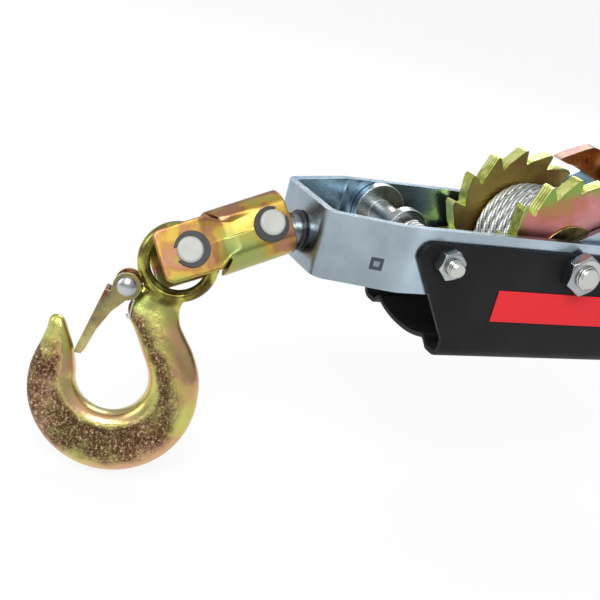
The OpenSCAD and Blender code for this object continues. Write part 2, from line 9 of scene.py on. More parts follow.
import bmesh
import bpy
import numpy as np
from mathutils import Matrix, Vector
from mathutils.kdtree import KDTree


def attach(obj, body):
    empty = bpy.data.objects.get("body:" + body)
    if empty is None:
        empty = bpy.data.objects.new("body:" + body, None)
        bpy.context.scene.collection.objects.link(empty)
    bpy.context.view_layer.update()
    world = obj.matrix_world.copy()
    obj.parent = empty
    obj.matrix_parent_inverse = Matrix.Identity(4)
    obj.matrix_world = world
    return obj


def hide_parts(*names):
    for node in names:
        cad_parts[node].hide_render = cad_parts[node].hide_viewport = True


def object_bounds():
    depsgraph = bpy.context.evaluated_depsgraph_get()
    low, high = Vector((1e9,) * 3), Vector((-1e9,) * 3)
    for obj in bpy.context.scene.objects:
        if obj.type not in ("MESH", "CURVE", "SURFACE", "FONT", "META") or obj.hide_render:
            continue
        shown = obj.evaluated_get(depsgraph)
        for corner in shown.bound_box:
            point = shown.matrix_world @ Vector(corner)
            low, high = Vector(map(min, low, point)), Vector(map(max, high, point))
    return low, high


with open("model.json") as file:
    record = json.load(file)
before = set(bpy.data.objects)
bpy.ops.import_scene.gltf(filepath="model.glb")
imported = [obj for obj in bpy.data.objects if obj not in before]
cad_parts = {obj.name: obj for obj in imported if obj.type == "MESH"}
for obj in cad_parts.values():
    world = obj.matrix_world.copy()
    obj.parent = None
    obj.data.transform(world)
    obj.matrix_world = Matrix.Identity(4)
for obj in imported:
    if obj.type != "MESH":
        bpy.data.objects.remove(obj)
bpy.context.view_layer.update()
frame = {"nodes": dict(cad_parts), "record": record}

MM = 0.001
TAU = 2 * np.pi
NODES = frame["nodes"]
BODY_OF = {n: b for b, names in frame["record"]["behaviour"]["bodies"].items() for n in names}
scene = bpy.context.scene
scene.view_settings.view_transform = "Standard"

WELD = 1e-6                 # metres within which two points are one
FLAT_WITHIN = 0.6           # degrees between faces that are merged
ROUNDED_ABOVE = 28          # degrees between faces whose edge is rounded
HARD_ABOVE = 35             # degrees between faces whose edge stays hard on a carried-over solid
WIRE_HARD_ABOVE = 60        # the same for a rope or a wire


# ---------------------------------------------------------------- camera
CAMERA_AT = (-387.74, -436.78, 148.84)
CAMERA_RIGHT = (0.8770, -0.4166, 0.2395)
CAMERA_UP = (-0.0480, 0.4200, 0.9063)
CAMERA_AHEAD = (0.4782, 0.8063, -0.3483)
SENSOR = 36.0
FOCAL_SHARE = 1123.1 / 600            # focal length over the frame's width

camera = bpy.data.objects.new("camera", bpy.data.cameras.new("camera"))
scene.collection.objects.link(camera)
camera.data.sensor_width = SENSOR
camera.data.lens = SENSOR * FOCAL_SHARE
camera.data.clip_start, camera.data.clip_end = 0.02, 20
camera_axes = Matrix((CAMERA_RIGHT, CAMERA_UP, [-a for a in CAMERA_AHEAD])).transposed()
camera.matrix_world = Matrix.Translation(Vector(CAMERA_AT) * MM) @ camera_axes.to_4x4()
scene.camera = camera


# ---------------------------------------------------------------- meshes from numpy
def mesh_from(name, points, faces):
    """A mesh from points in millimetres and faces of any number of corners."""
    mesh = bpy.data.meshes.new(name)
    mesh.from_pydata((np.asarray(points, float) * MM).tolist(), [], [list(f) for f in faces])
    return mesh


def shown(name, thing):
    """A new object of the scene that shows a mesh, or a lamp."""
    made = bpy.data.objects.new(name, thing)
    scene.collection.objects.link(made)
    return made


def new_piece(name, points, faces, material, body, replaces=(), smooth=40, uv=None,
              bevel=0.0):
    """A mesh piece from points in millimetres and quads or triangles, riding on a body.

    smooth is the angle in degrees above which an edge stays sharp. uv holds one pair per point.
    bevel rounds the sharp edges of a closed piece, by a width in millimetres.
    """
    mesh = mesh_from(name, points, faces)
    mesh.materials.append(material)
    if uv is not None:
        corner = np.empty(len(mesh.loops), np.int32)
        mesh.loops.foreach_get("vertex_index", corner)
        layer = mesh.uv_layers.new(name="along")
        layer.data.foreach_set("uv", np.asarray(uv, np.float32)[corner].ravel())
    piece = shown(name, mesh)
    if bevel:
        face_outwards(mesh)
        add_rounding(piece, bevel, 2)
    shade_by_angle(mesh, smooth)
    if bevel:
        even_shading(piece)
        bake_modifiers(piece)
    settle(piece, body, replaces)
    return piece


def face_outwards(mesh):
    """Joins doubled points of closed shells and turns their faces outwards."""
    work = bmesh.new()
    work.from_mesh(mesh)
    bmesh.ops.remove_doubles(work, verts=work.verts, dist=WELD)
    bmesh.ops.recalc_face_normals(work, faces=work.faces)
    work.to_mesh(mesh)
    work.free()


def add_rounding(piece, width, segments, material=-1):
    """Rounds the edges sharper than ROUNDED_ABOVE; a material number colours the roundings."""
    rounding = piece.modifiers.new("rounding", "BEVEL")
    rounding.width = width * MM
    rounding.segments = segments
    rounding.limit_method = "ANGLE"
    rounding.angle_limit = np.radians(ROUNDED_ABOVE)
    rounding.use_clamp_overlap = True
    rounding.material = material


def even_shading(piece):
    """Lets large faces decide the shading next to their rounded edges."""
    fair = piece.modifiers.new("fair", "WEIGHTED_NORMAL")
    fair.keep_sharp = True


def shade_by_angle(mesh, degrees):
    """Smooth faces, with every edge sharper than the angle kept hard."""
    mesh.validate()
    mesh.polygons.foreach_set("use_smooth", np.ones(len(mesh.polygons), bool))
    mesh.set_sharp_from_angle(angle=np.radians(degrees))


def settle(piece, body, replaces=()):
    """Lets a piece ride on its body and hides the nodes it stands for."""
    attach(piece, body)
    if replaces:
        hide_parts(*([replaces] if isinstance(replaces, str) else replaces))


def grid_faces(rows, columns, wrap_rows=False):
    """Quads over a grid of points stored row after row, each row closing on itself."""
    i, j = np.meshgrid(np.arange(rows if wrap_rows else rows - 1), np.arange(columns), indexing="ij")
    i2, j2 = (i + 1) % rows, (j + 1) % columns
    quads = np.stack([i * columns + j, i * columns + j2, i2 * columns + j2, i2 * columns + j], -1)
    return quads.reshape(-1, 4)


def capped_faces(rows, sides, first=0):
    """The quads of a tube of rings and its two end caps, counted from a first point."""
    last = first + rows * sides
    caps = [list(range(first, first + sides)), list(range(last - 1, last - sides - 1, -1))]
    return (grid_faces(rows, sides)[:, ::-1] + first).tolist() + caps


def unit(vectors):
    """Vectors, one a row, divided by their lengths."""
    return vectors / np.linalg.norm(vectors, axis=-1, keepdims=True)


def directions(p, lead):
    """Two directions square to a path at each point, turned as little as possible along it."""
    t = unit(np.gradient(p, axis=0))
    lead = np.array(lead, float)
    if abs(lead @ t[0]) > 0.9:
        lead = np.array([0.0, 1.0, 0.0])
    n = np.empty_like(p)
    n[0] = unit(lead - (lead @ t[0]) * t[0])
    for i in range(1, len(p)):
        n[i] = unit(n[i - 1] - (n[i - 1] @ t[i]) * t[i])
    return n, np.cross(t, n)


def rings(centres, n, b, radius, sides):
    """A circle of points round each centre: p + r (cos a n + sin a b)."""
    a = np.arange(sides) * TAU / sides
    ring = np.cos(a)[None, :, None] * n[:, None] + np.sin(a)[None, :, None] * b[:, None]
    return (centres[:, None] + radius * ring).reshape(-1, 3)


def tube_mesh(path, radius, sides, lead=(0, 0, 1)):
    """A round tube: point(i, j) = p_i + r (cos a_j n_i + sin a_j b_i), closed by end caps.

    n and b are carried along the path without twist, starting from the lead direction.
    """
    p = np.asarray(path, float)
    return rings(p, *directions(p, lead), radius, sides), capped_faces(len(p), sides)


def smoothed(rows, times):
    """Catmull-Rom through rows of numbers, with a number of steps between each two rows."""
    p = np.asarray(rows, float)
    ghost = np.vstack([2 * p[0] - p[1], p, 2 * p[-1] - p[-2]])
    u = np.linspace(0, 1, times, endpoint=False)[None, :, None]
    a, b, c, d = (x[:, None] for x in (ghost[:-3], ghost[1:-2], ghost[2:-1], ghost[3:]))
    made = 0.5 * (2 * b + (c - a) * u + (2 * a - 5 * b + 4 * c - d) * u ** 2
                  + (3 * b - a - 3 * c + d) * u ** 3)
    return np.vstack([made.reshape(-1, p.shape[1]), p[-1:]])


def resampled(path, step):
    """The path as a smooth curve with points an equal step apart, and each point's run."""
    fine = smoothed(path, 12)
    s = np.concatenate([[0], np.cumsum(np.linalg.norm(np.diff(fine, axis=0), axis=1))])
    at = np.linspace(0, s[-1], max(int(round(s[-1] / step)), 2) + 1)
    return np.stack([np.interp(at, s, fine[:, k]) for k in range(3)], 1), at


STRANDS = 6
STRAND_OVERLAP = 0.02       # millimetres that a strand is thicker than its share of the rope
STRAND_SHIFT = 0.37         # how far the wires' pattern shifts from strand to strand
CORE_SHARE = 0.62           # the core's radius over the strands' distance from the middle


def wire_rope(name, path, diameter, body, replaces, lay=-31.0, step=1.0, sides=8):
    """Strands laid round a path: centre = p + q (cos w n + sin w b), w = 2 pi s / lay + phase.

    Each strand is a tube whose radius is a sixth of the rope's diameter. Its UV runs round it
    and, in centimetres, along it.
    """
    p, s = resampled(path, step)
    n, b = directions(p, (0, 0, 1))
    q = diameter / 3
    r = diameter / 2 - q + STRAND_OVERLAP
    points, faces, uvs = [], [], []
    for k in range(STRANDS):
        w = TAU * (s / lay + k / STRANDS)
        out = np.cos(w)[:, None] * n + np.sin(w)[:, None] * b
        centre = p + q * out
        along = unit(np.gradient(centre, axis=0))
        e = unit(out - (out * along).sum(1)[:, None] * along)
        points.append(rings(centre, e, np.cross(along, e), r, sides))
        faces += capped_faces(len(p), sides, k * len(p) * sides)
        uvs.append(np.stack([np.tile(np.arange(sides) / sides, len(p)),
                             np.repeat(s / 10 + k * STRAND_SHIFT, sides)], 1))
    core = tube_mesh(p[::2], q * CORE_SHARE, 6)
    points, faces = joined((np.vstack(points), faces), core)
    uvs.append(np.zeros((len(core[0]), 2)))
    return new_piece(name, points, faces, ROPE, body, replaces, WIRE_HARD_ABOVE,
                     np.vstack(uvs))


def placed(points, origin, x_axis, y_axis, z_axis):
    """Points moved into the frame whose axes and origin are given."""
    return np.asarray(points) @ np.array([x_axis, y_axis, z_axis], float) + np.array(origin, float)


def joined(*meshes):
    """Several (points, faces) lists as one."""
    points, faces, count = [], [], 0
    for p, f in meshes:
        points.append(np.asarray(p, float))
        faces += [[i + count for i in face] for face in f]
        count += len(p)
    return np.vstack(points), faces


# ---------------------------------------------------------------- carried-over solids, finished
def finished(node, name, material, edge, bevel=0.3, segments=2, paint=None):
    """A copy of a CAD node, welded, its flat faces merged and its edges rounded.

    The rounded edges take the edge material. paint(centres, normals) may give each face the
    number of its material; centres are in millimetres.
    """
    mesh = bpy.data.meshes.new(name)
    work = bmesh.new()
    work.from_mesh(NODES[node].data)
    bmesh.ops.remove_doubles(work, verts=work.verts, dist=2 * WELD)
    bmesh.ops.dissolve_degenerate(work, dist=WELD, edges=work.edges)
    bmesh.ops.dissolve_limit(work, angle_limit=np.radians(FLAT_WITHIN), verts=work.verts,
                             edges=work.edges, use_dissolve_boundaries=False)
    work.to_mesh(mesh)
    work.free()
    mesh.materials.clear()
    materials = material if isinstance(material, list) else [material]
    for m in materials + [edge]:
        mesh.materials.append(m)
    mesh.polygons.foreach_set("material_index", np.zeros(len(mesh.polygons), np.int32))
    for attribute in [a.name for a in mesh.attributes if a.name.startswith("custom_normal")]:
        mesh.attributes.remove(mesh.attributes[attribute])
    if paint:
        centre = np.empty(len(mesh.polygons) * 3)
        normal = np.empty(len(mesh.polygons) * 3)
        mesh.polygons.foreach_get("center", centre)
        mesh.polygons.foreach_get("normal", normal)
        mesh.polygons.foreach_set("material_index", paint(
            centre.reshape(-1, 3) / MM, normal.reshape(-1, 3)).astype(np.int32))
    piece = shown(name, mesh)
    if bevel:
        add_rounding(piece, bevel, segments, len(materials))
    shade_by_angle(mesh, HARD_ABOVE)
    even_shading(piece)
    bake_modifiers(piece)
    settle(piece, BODY_OF[node], node)
    return piece


def one_skin(name, points, faces, voxel, rounds, material):
    """A piece whose closed shells are run together into small quads, then eased."""
    mesh = mesh_from(name, points, faces)
    face_outwards(mesh)
    piece = shown(name, mesh)
    melt = piece.modifiers.new("melt", "REMESH")
    melt.mode = "VOXEL"
    melt.voxel_size = voxel * MM
    ease = piece.modifiers.new("ease", "SMOOTH")
    ease.factor, ease.iterations = 0.5, rounds
    bake_modifiers(piece)
    piece.data.materials.clear()
    piece.data.materials.append(material)
    return piece


def points_of(piece):
    """A piece's points in millimetres."""
    co = np.empty(len(piece.data.vertices) * 3)
    piece.data.vertices.foreach_get("co", co)
    return co.reshape(-1, 3) / MM


def move_points(piece, points):
    """Puts a skin's points at new places in millimetres, and shades it smooth."""
    piece.data.vertices.foreach_set("co", (points * MM).ravel())
    piece.data.update()
    shade_by_angle(piece.data, 180)


def mark_points(piece, name, values):
    """Gives a piece's points one number each, which its material reads by the name."""
    piece.data.attributes.new(name, "FLOAT", "POINT").data.foreach_set("value", values)


def bake_modifiers(piece):
    """Turns a piece's modifiers into its mesh."""
    bpy.context.view_layer.update()
    evaluated = piece.evaluated_get(bpy.context.evaluated_depsgraph_get())
    made = bpy.data.meshes.new_from_object(evaluated)
    made.name = piece.data.name
    piece.modifiers.clear()
    piece.data = made


# ---------------------------------------------------------------- shader groups
def colour(r, g, b):
    """A screen colour from 0 to 255 as the linear one that shaders take."""
    v = np.array([r, g, b]) / 255
    linear = np.where(v <= 0.04045, v / 12.92, ((v + 0.055) / 1.055) ** 2.4)
    return (*linear.tolist(), 1.0)


def band(*rows):
    """Stops of a colour ramp from rows of a place from 0 to 1 and a screen colour."""
    return [(at, colour(*tint)) for at, *tint in rows]


class Shade:
    """A small helper that adds nodes to a tree and links them by name."""

    def __init__(self, tree):
        self.tree = tree

    def add(self, kind, _settings=None, **inputs):
        """A node with its settings, and values or links for its inputs; in0 is the first one."""
        made = self.tree.nodes.new(kind)
        for key, value in (_settings or {}).items():
            setattr(made, key, value)
        for key, value in inputs.items():
            self.feed(made, key.replace("_", " "), value)
        return made

    def feed(self, node, socket, value):
        if socket.startswith("in") and socket[2:].isdigit():
            target = node.inputs[int(socket[2:])]
        else:
            target = node.inputs[socket]
        if isinstance(value, bpy.types.NodeSocket):
            self.tree.links.new(value, target)
        elif isinstance(value, bpy.types.Node):
            self.tree.links.new(value.outputs[0], target)
        else:
            target.default_value = value

    def math(self, operation, a, b=0.0, clamp=False):
        return self.add("ShaderNodeMath", {"operation": operation, "use_clamp": clamp},
                        in0=a, in1=b).outputs[0]

    def plus(self, a, b, clamp=False):
        return self.math("ADD", a, b, clamp)

    def minus(self, a, b):
        return self.math("SUBTRACT", a, b)

    def times(self, a, b):
        return self.math("MULTIPLY", a, b)

    def span(self, value, low, high, to_low=0.0, to_high=1.0):
        """A smooth step of value from low to high, onto to_low .. to_high."""
        return self.add("ShaderNodeMapRange", {"interpolation_type": "SMOOTHSTEP"},
                        in0=value, in1=low, in2=high, in3=to_low, in4=to_high).outputs[0]

    def mix(self, share, a, b):
        return self.add("ShaderNodeMix", {"data_type": "RGBA"}, in0=share, in6=a, in7=b).outputs[2]

    def ramp(self, value, stops):
        made = self.add("ShaderNodeValToRGB", in0=value)
        elements = made.color_ramp.elements
        while len(elements) > 1:
            elements.remove(elements[-1])
        elements[0].position, elements[0].color = stops[0]
        for at, tint in stops[1:]:
            elements.new(at).color = tint
        return made.outputs[0]

    def noise(self, vector, scale, detail=3.0, rough=0.5, warp=0.0):
        return self.add("ShaderNodeTexNoise", Vector=vector, Scale=scale, Detail=detail,
                        Roughness=rough, Distortion=warp).outputs[0]

    def place(self, shift=(0, 0, 0)):
        """The place on the piece, in metres, moved by a shift."""
        where = self.add("ShaderNodeTexCoord")
        return self.add("ShaderNodeMapping", Vector=where.outputs["Object"],
                        Location=shift).outputs[0]

    def parts(self, vector):
        """The x, y and z of a vector."""
        return self.add("ShaderNodeSeparateXYZ", Vector=vector).outputs

    def marked(self, name):
        """The number that a piece's points carry under a name."""
        return self.add("ShaderNodeAttribute", {"attribute_name": name}).outputs["Fac"]

    def use(self, tree, **inputs):
        """A shader group placed here; gives its outputs."""
        return self.add("ShaderNodeGroup", {"node_tree": tree}, **inputs).outputs


def group(name, inputs, outputs):
    """An empty shader group: inputs by name with "vector" or a number, and number outputs."""
    tree = bpy.data.node_groups.new(name, "ShaderNodeTree")
    for key, value in inputs.items():
        kind = "NodeSocketVector" if value == "vector" else "NodeSocketFloat"
        made = tree.interface.new_socket(key, in_out="INPUT", socket_type=kind)
        if value != "vector":
            made.default_value = value
    for key in outputs:
        tree.interface.new_socket(key, in_out="OUTPUT", socket_type="NodeSocketFloat")
    build = Shade(tree)
    return build, build.add("NodeGroupInput").outputs, build.add("NodeGroupOutput")


def passivate_film():
    """Broad soft drifts of a plated film: two warped noises added, spread to fill 0 to 1."""
    g, given, result = group("passivate_film", {"Place": "vector", "Patch": 40.0, "Streak": 0.3},
                             ("Drift", "Second"))
    place, patch = given["Place"], given["Patch"]
    broad = g.noise(place, patch, detail=1.5, rough=0.4, warp=0.6)
    fine = g.noise(place, g.times(patch, 4.3), detail=2)
    drift = g.plus(broad, g.times(g.minus(fine, 0.5), given["Streak"]))
    g.feed(result, "Drift", g.span(drift, 0.28, 0.72))
    moved = g.add("ShaderNodeVectorMath", {"operation": "ADD"}, in0=place, in1=(3.1, 1.7, 5.3))
    second = g.noise(moved, patch, detail=1.5, warp=0.4)
    g.feed(result, "Second", g.span(second, 0.3, 0.7))
    return g.tree


def fine_texture():
    """Fine grain and scratches: a height and a roughness offset from two stretched noises."""
    g, given, result = group("fine_texture", {"Place": "vector", "Grain": 900.0, "Scratch": 0.5},
                             ("Height", "Rub"))
    place = given["Place"]
    grain = g.noise(place, given["Grain"], rough=0.6)
    stretched = g.add("ShaderNodeMapping", Vector=place, Scale=(0.25, 1.2, 6.0),
                      Rotation=(0.2, 0.3, 0.15))
    lines = g.noise(stretched, 420.0, detail=2, rough=0.6)
    scratch = g.times(g.span(lines, 0.56, 0.7), given["Scratch"])
    g.feed(result, "Height", g.minus(grain, g.times(scratch, 0.6)))
    wide = g.noise(place, 60.0, rough=0.6)
    g.feed(result, "Rub", g.plus(g.minus(wide, 0.5), g.times(scratch, 0.3)))
    return g.tree


FILM = passivate_film()
TEXTURE = fine_texture()


def start_material(name, metallic, roughness, **constants):
    """A material with its Principled shader; constants go onto the shader's own sockets."""
    material = bpy.data.materials.new(name)
    material.use_nodes = True
    shader = material.node_tree.nodes["Principled BSDF"]
    shader.inputs["Metallic"].default_value = metallic
    shader.inputs["Roughness"].default_value = roughness
    for key, value in constants.items():
        shader.inputs[key.replace("_", " ")].default_value = value
    return material, Shade(material.node_tree), shader


def finish_surface(shade, shader, tint, height, strength, distance=0.2, rough=None):
    """Links a colour, a bump of a depth in millimetres and, if given, a roughness."""
    shade.feed(shader, "Base Color", tint)
    if rough is not None:
        shade.feed(shader, "Roughness", rough)
    bump = shade.add("ShaderNodeBump", Strength=strength, Distance=distance * MM, Height=height)
    shade.feed(shader, "Normal", bump)


def rubbed(shade, fine, spread, rough):
    """A roughness that the fine texture raises and lowers by a spread."""
    return shade.plus(shade.times(fine["Rub"], spread), rough, clamp=True)


def finish_grained(s, shader, where, tint, grain, scratch, bump, spread, rough):
    """Links a colour over the fine texture, which gives the bump and the roughness."""
    fine = s.use(TEXTURE, Place=where, Grain=grain, Scratch=scratch)
    finish_surface(s, shader, tint, fine["Height"], bump, rough=rubbed(s, fine, spread, rough))


def plated(name, stops, patch=38.0, streak=0.35, rough=0.3, spread=0.32, metallic=1.0,
           grain=1100.0, scratch=0.5, bump=0.25, shift=(0, 0, 0)):
    """Zinc with a passivate film: the drift picks its colour from the stops."""
    material, s, shader = start_material(name, metallic, rough)
    where = s.place(shift)
    film = s.use(FILM, Place=where, Patch=patch, Streak=streak)
    finish_grained(s, shader, where, s.ramp(film["Drift"], stops), grain, scratch, bump, spread,
                   rough)
    return material


FLANKS = band((0, 192, 204, 112), (0.45, 202, 200, 112), (0.7, 204, 182, 110),
              (0.88, 208, 162, 124), (1, 206, 178, 116))
BLUSH = band((0.2, 222, 160, 142), (0.6, 220, 184, 134), (0.95, 204, 196, 118))
# Scale ramps: dark brown flecks, ending in bright gold flecks that are painted glints.
BROWN_SCALE_GLINTS = band((0.40, 26, 14, 10), (0.49, 84, 52, 38), (0.55, 130, 92, 66),
                   (0.62, 250, 224, 182))
ROSE_SCALE_GLINTS = band((0.40, 56, 34, 28), (0.50, 136, 96, 76), (0.62, 246, 212, 178))
BRONZE_EYE = band((0.34, 92, 76, 40), (0.48, 138, 128, 60), (0.62, 190, 190, 96))


def forged(name):
    """Yellow plate over a forging: smooth drifts on the flanks, dark scale where the point attribute
    scale says, its brightest gold flecks painted glints, a pink blush inside and under the bowl where
    blush says, bronze round the eye where eye says."""
    material, s, shader = start_material(name, 1.0, 0.34)
    where = s.place()
    film = s.use(FILM, Place=where, Patch=30.0, Streak=0.2)
    clear = s.mix(s.marked("blush"), s.ramp(film["Drift"], FLANKS), s.ramp(film["Second"], BLUSH))
    scale, ring = s.marked("scale"), s.marked("eye")
    speck = s.noise(where, 760.0, detail=7, rough=0.86)
    rosy = s.span(s.noise(where, 42.0, detail=2), 0.5, 0.66)
    # dark scale, its brightest flecks painted glints
    scale_and_glints = s.mix(rosy, s.ramp(speck, BROWN_SCALE_GLINTS), s.ramp(speck, ROSE_SCALE_GLINTS))
    bronze = s.ramp(s.noise(where, 130.0, detail=2), BRONZE_EYE)
    clear = s.mix(s.span(ring, 0.2, 0.8), clear, bronze)
    cover = s.minus(s.noise(where, 130.0, detail=5, rough=0.72, warp=0.3), 0.5)
    ragged = s.plus(s.times(cover, 2.0), s.minus(speck, 0.5))
    held = s.times(s.minus(1.0, ring), s.span(scale, 0.0, 0.5, 0.45, 1.0))
    share = s.span(s.plus(scale, s.times(ragged, held)), 0.05, 1.0, 0.0, 0.95)
    pits = s.noise(where, 520.0, detail=4, rough=0.65)
    waves = s.noise(where, 110.0, detail=2)
    crust = s.times(s.plus(pits, s.times(speck, 0.7)), s.plus(s.times(share, 0.6), 0.12))
    height = s.plus(crust, s.times(waves, 0.8))
    rough = s.plus(s.times(share, 0.06), 0.27)
    finish_surface(s, shader, s.mix(share, clear, scale_and_glints), height, 0.6, distance=0.6, rough=rough)
    return material


def wheel_face(name, centre_stops, rim, rim_from, rim_to, shift=(0, 0, 0)):
    """A wheel's face: film drifts inside, another colour towards the teeth, by radius x, z."""
    material, s, shader = start_material(name, 1.0, 0.36)
    where = s.place(shift)
    flat = s.add("ShaderNodeVectorMath", {"operation": "MULTIPLY"}, in0=s.place(), in1=(1, 0, 1))
    radius = s.add("ShaderNodeVectorMath", {"operation": "LENGTH"}, in0=flat).outputs["Value"]
    film = s.use(FILM, Place=where, Patch=34.0, Streak=0.3)
    waver = s.times(s.minus(film["Second"], 0.5), 6 * MM)
    edge = s.span(s.plus(radius, waver), rim_from * MM, rim_to * MM)
    tint = s.mix(edge, s.ramp(film["Drift"], centre_stops), rim)
    finish_grained(s, shader, where, tint, grain=900.0, scratch=0.7, bump=0.25, spread=0.3,
                   rough=0.36)
    return material


def coated(name, base, rough, grain, bump, lift=0.35, specular=0.5):
    """Paint, rubber or film: a colour with faint drift, fine grain and scuffs."""
    material, s, shader = start_material(name, 0.0, rough, Specular_IOR_Level=specular)
    where = s.place()
    drift = s.noise(where, 25.0, rough=0.6)
    worn = tuple(min(c * (1 + lift) + 0.004, 1) for c in base[:3]) + (1.0,)
    tint = s.mix(s.span(drift, 0.35, 0.7), base, worn)
    finish_grained(s, shader, where, tint, grain, scratch=0.6, bump=bump, spread=0.25, rough=rough)
    return material


def strand_metal(name):
    """Galvanised wires: stripes cross each strand at a slant, with painted shade between wires."""
    material, s, shader = start_material(name, 1.0, 0.34)
    uv = s.parts(s.add("ShaderNodeUVMap", {"uv_map": "along"}))
    turn_at = s.plus(s.times(uv[0], WIRES_ROUND), s.times(uv[1], WIRES_ALONG))
    wire = s.math("ABSOLUTE", s.math("SINE", s.times(turn_at, np.pi)))
    drift = s.noise(s.place(), 160.0, rough=0.6)
    # darker between the wires: painted shade in the crevices between them
    tint = s.mix(s.span(wire, 0.0, 0.5), colour(156, 158, 158), colour(214, 217, 215))
    tint = s.mix(s.span(drift, 0.45, 0.75, 0.0, 0.4), tint, colour(140, 142, 140))
    rough = s.plus(s.times(drift, 0.25), 0.26)
    finish_surface(s, shader, tint, wire, 0.35, distance=0.1, rough=rough)
    return material


def strap_metal():
    """Bright zinc, with painted shade darkening the nose and a painted bluish reflection inside the
    far wall, and a square stamp frame pressed in the near wall, darkened there by painted shade and
    left without a mark inside."""
    material, s, shader = start_material("strap_zinc", 1.0, 0.3)
    where = s.place()
    film = s.use(FILM, Place=where, Patch=22.0, Streak=0.3)
    # the nose's ramp is darker than the sides': painted shade on the nose wall
    nose = s.ramp(film["Drift"], band((0, 140, 153, 162), (0.5, 154, 168, 177), (1, 167, 183, 192)))
    sides = s.ramp(film["Drift"], band((0, 160, 175, 186), (0.5, 174, 190, 202), (1, 188, 205, 217)))
    fine = s.use(TEXTURE, Place=where, Grain=800.0, Scratch=0.35)
    x, y, z = s.parts(s.place())
    tint = s.mix(s.span(x, (BEND_X - 4) * MM, (BEND_X + 4) * MM), nose, sides)
    square = s.math("MAXIMUM", s.math("ABSOLUTE", s.minus(x, STAMP_X * MM)),
                    s.math("ABSOLUTE", s.minus(z, STAMP_Z * MM)))
    stamp_depth_and_shade = s.minus(s.span(square, STAMP_HALF * MM, (STAMP_HALF - 0.3) * MM),
                          s.times(s.span(square, STAMP_HOLE * MM, (STAMP_HOLE - 0.5) * MM), 0.75))
    pressed = s.times(stamp_depth_and_shade, s.math("LESS_THAN", y, NEAR_WALL_Y * MM))
    # the pressed stamp frame is darkened: painted shade where it is pressed in
    tint = s.mix(s.times(pressed, 0.85), tint, colour(44, 52, 62))
    # bluish inside the far wall: a painted reflection
    far = s.times(s.span(y, 12 * MM, 24 * MM, 0.0, 0.75), s.span(y, 35 * MM, 33 * MM))
    tint = s.mix(far, tint, colour(142, 180, 205))
    height = s.minus(s.times(fine["Height"], 0.3), s.times(pressed, 1.5))
    finish_surface(s, shader, tint, height, 0.35, rough=rubbed(s, fine, 0.3, 0.26))
    return material


def threaded_metal():
    """Bright zinc, darkened in the roots of a thread as painted shade, by a point attribute that
    marks them.
    """
    material, s, shader = start_material("bolt_zinc", 1.0, 0.34)
    fine = s.use(TEXTURE, Place=s.place(), Grain=1100.0, Scratch=0.2)
    # the thread roots' painted shade
    root = s.span(s.marked("thread_root_shade"), 0.15, 0.8)
    tint = s.mix(root, colour(204, 206, 200), colour(62, 64, 60))
    finish_surface(s, shader, tint, fine["Height"], 0.15)
    return material


WIRES_ROUND, WIRES_ALONG = 9.0, 5.0     # wires round a strand, and slants of them a centimetre
BEND_X, NEAR_WALL_Y = -100.0, -20.0     # where the strap's nose ends, and its near wall begins
STAMP_X, STAMP_Z, STAMP_HALF, STAMP_HOLE = -113.5, -6.0, 3.1, 1.6

STRAP = strap_metal()
BRIGHT = plated("bright_zinc", band((0, 160, 167, 171), (0.5, 187, 191, 190), (1, 204, 206, 202)),
                patch=60.0, rough=0.28, bump=0.2)
# Lighter than the bright zinc: a painted highlight along the rounded edges.
BRIGHT_EDGE_HIGHLIGHT = plated("bright_zinc_edge_highlight", band((0, 198, 210, 216), (1, 222, 230, 232)),
                     patch=90.0, rough=0.36, bump=0.08, scratch=0.15)
YELLOW = plated("yellow_zinc", band((0, 156, 168, 98), (0.18, 172, 160, 80), (0.36, 190, 156, 72),
                                    (0.52, 166, 122, 74), (0.7, 172, 122, 100),
                                    (0.86, 166, 134, 80), (1, 158, 164, 104)),
                patch=34.0, rough=0.33, bump=0.06, streak=0.25, scratch=0.2, spread=0.12,
                shift=(0.013, 0.004, 0.021))
YELLOW_EDGE = plated("yellow_zinc_edge", band((0, 150, 140, 70), (1, 214, 190, 120)),
                     patch=120.0, rough=0.35)
LATCH = plated("latch_zinc", band((0, 200, 192, 130), (0.25, 176, 160, 108), (0.5, 166, 150, 98),
                                  (0.75, 146, 142, 108), (1, 140, 92, 72)),
               patch=62.0, rough=0.26, bump=0.06, streak=0.3, spread=0.16)
# Lighter than the latch: a painted highlight along its rounded edges.
LATCH_EDGE_HIGHLIGHT = plated("latch_zinc_edge_highlight", band((0, 206, 190, 120), (1, 236, 222, 160)),
                    patch=120.0, rough=0.4)
FORGED = forged("forged_yellow_zinc")
PAWL = plated("pawl_zinc", band((0, 158, 84, 34), (0.45, 186, 106, 50), (0.75, 200, 138, 84),
                                (1, 208, 150, 120)), patch=40.0, rough=0.34, bump=0.15,
              streak=0.4, scratch=0.3)
PAWL_EDGE = plated("pawl_zinc_edge", band((0, 118, 84, 76), (0.6, 132, 104, 90),
                                          (1, 128, 110, 78)), patch=60.0, rough=0.36,
                   bump=0.15)
NEAR_FACE = wheel_face("near_wheel_face", band((0, 176, 138, 88), (0.25, 194, 126, 104),
                                               (0.6, 206, 132, 128), (1, 212, 150, 148)),
                       rim=colour(138, 170, 84), rim_from=36.5, rim_to=42.0)
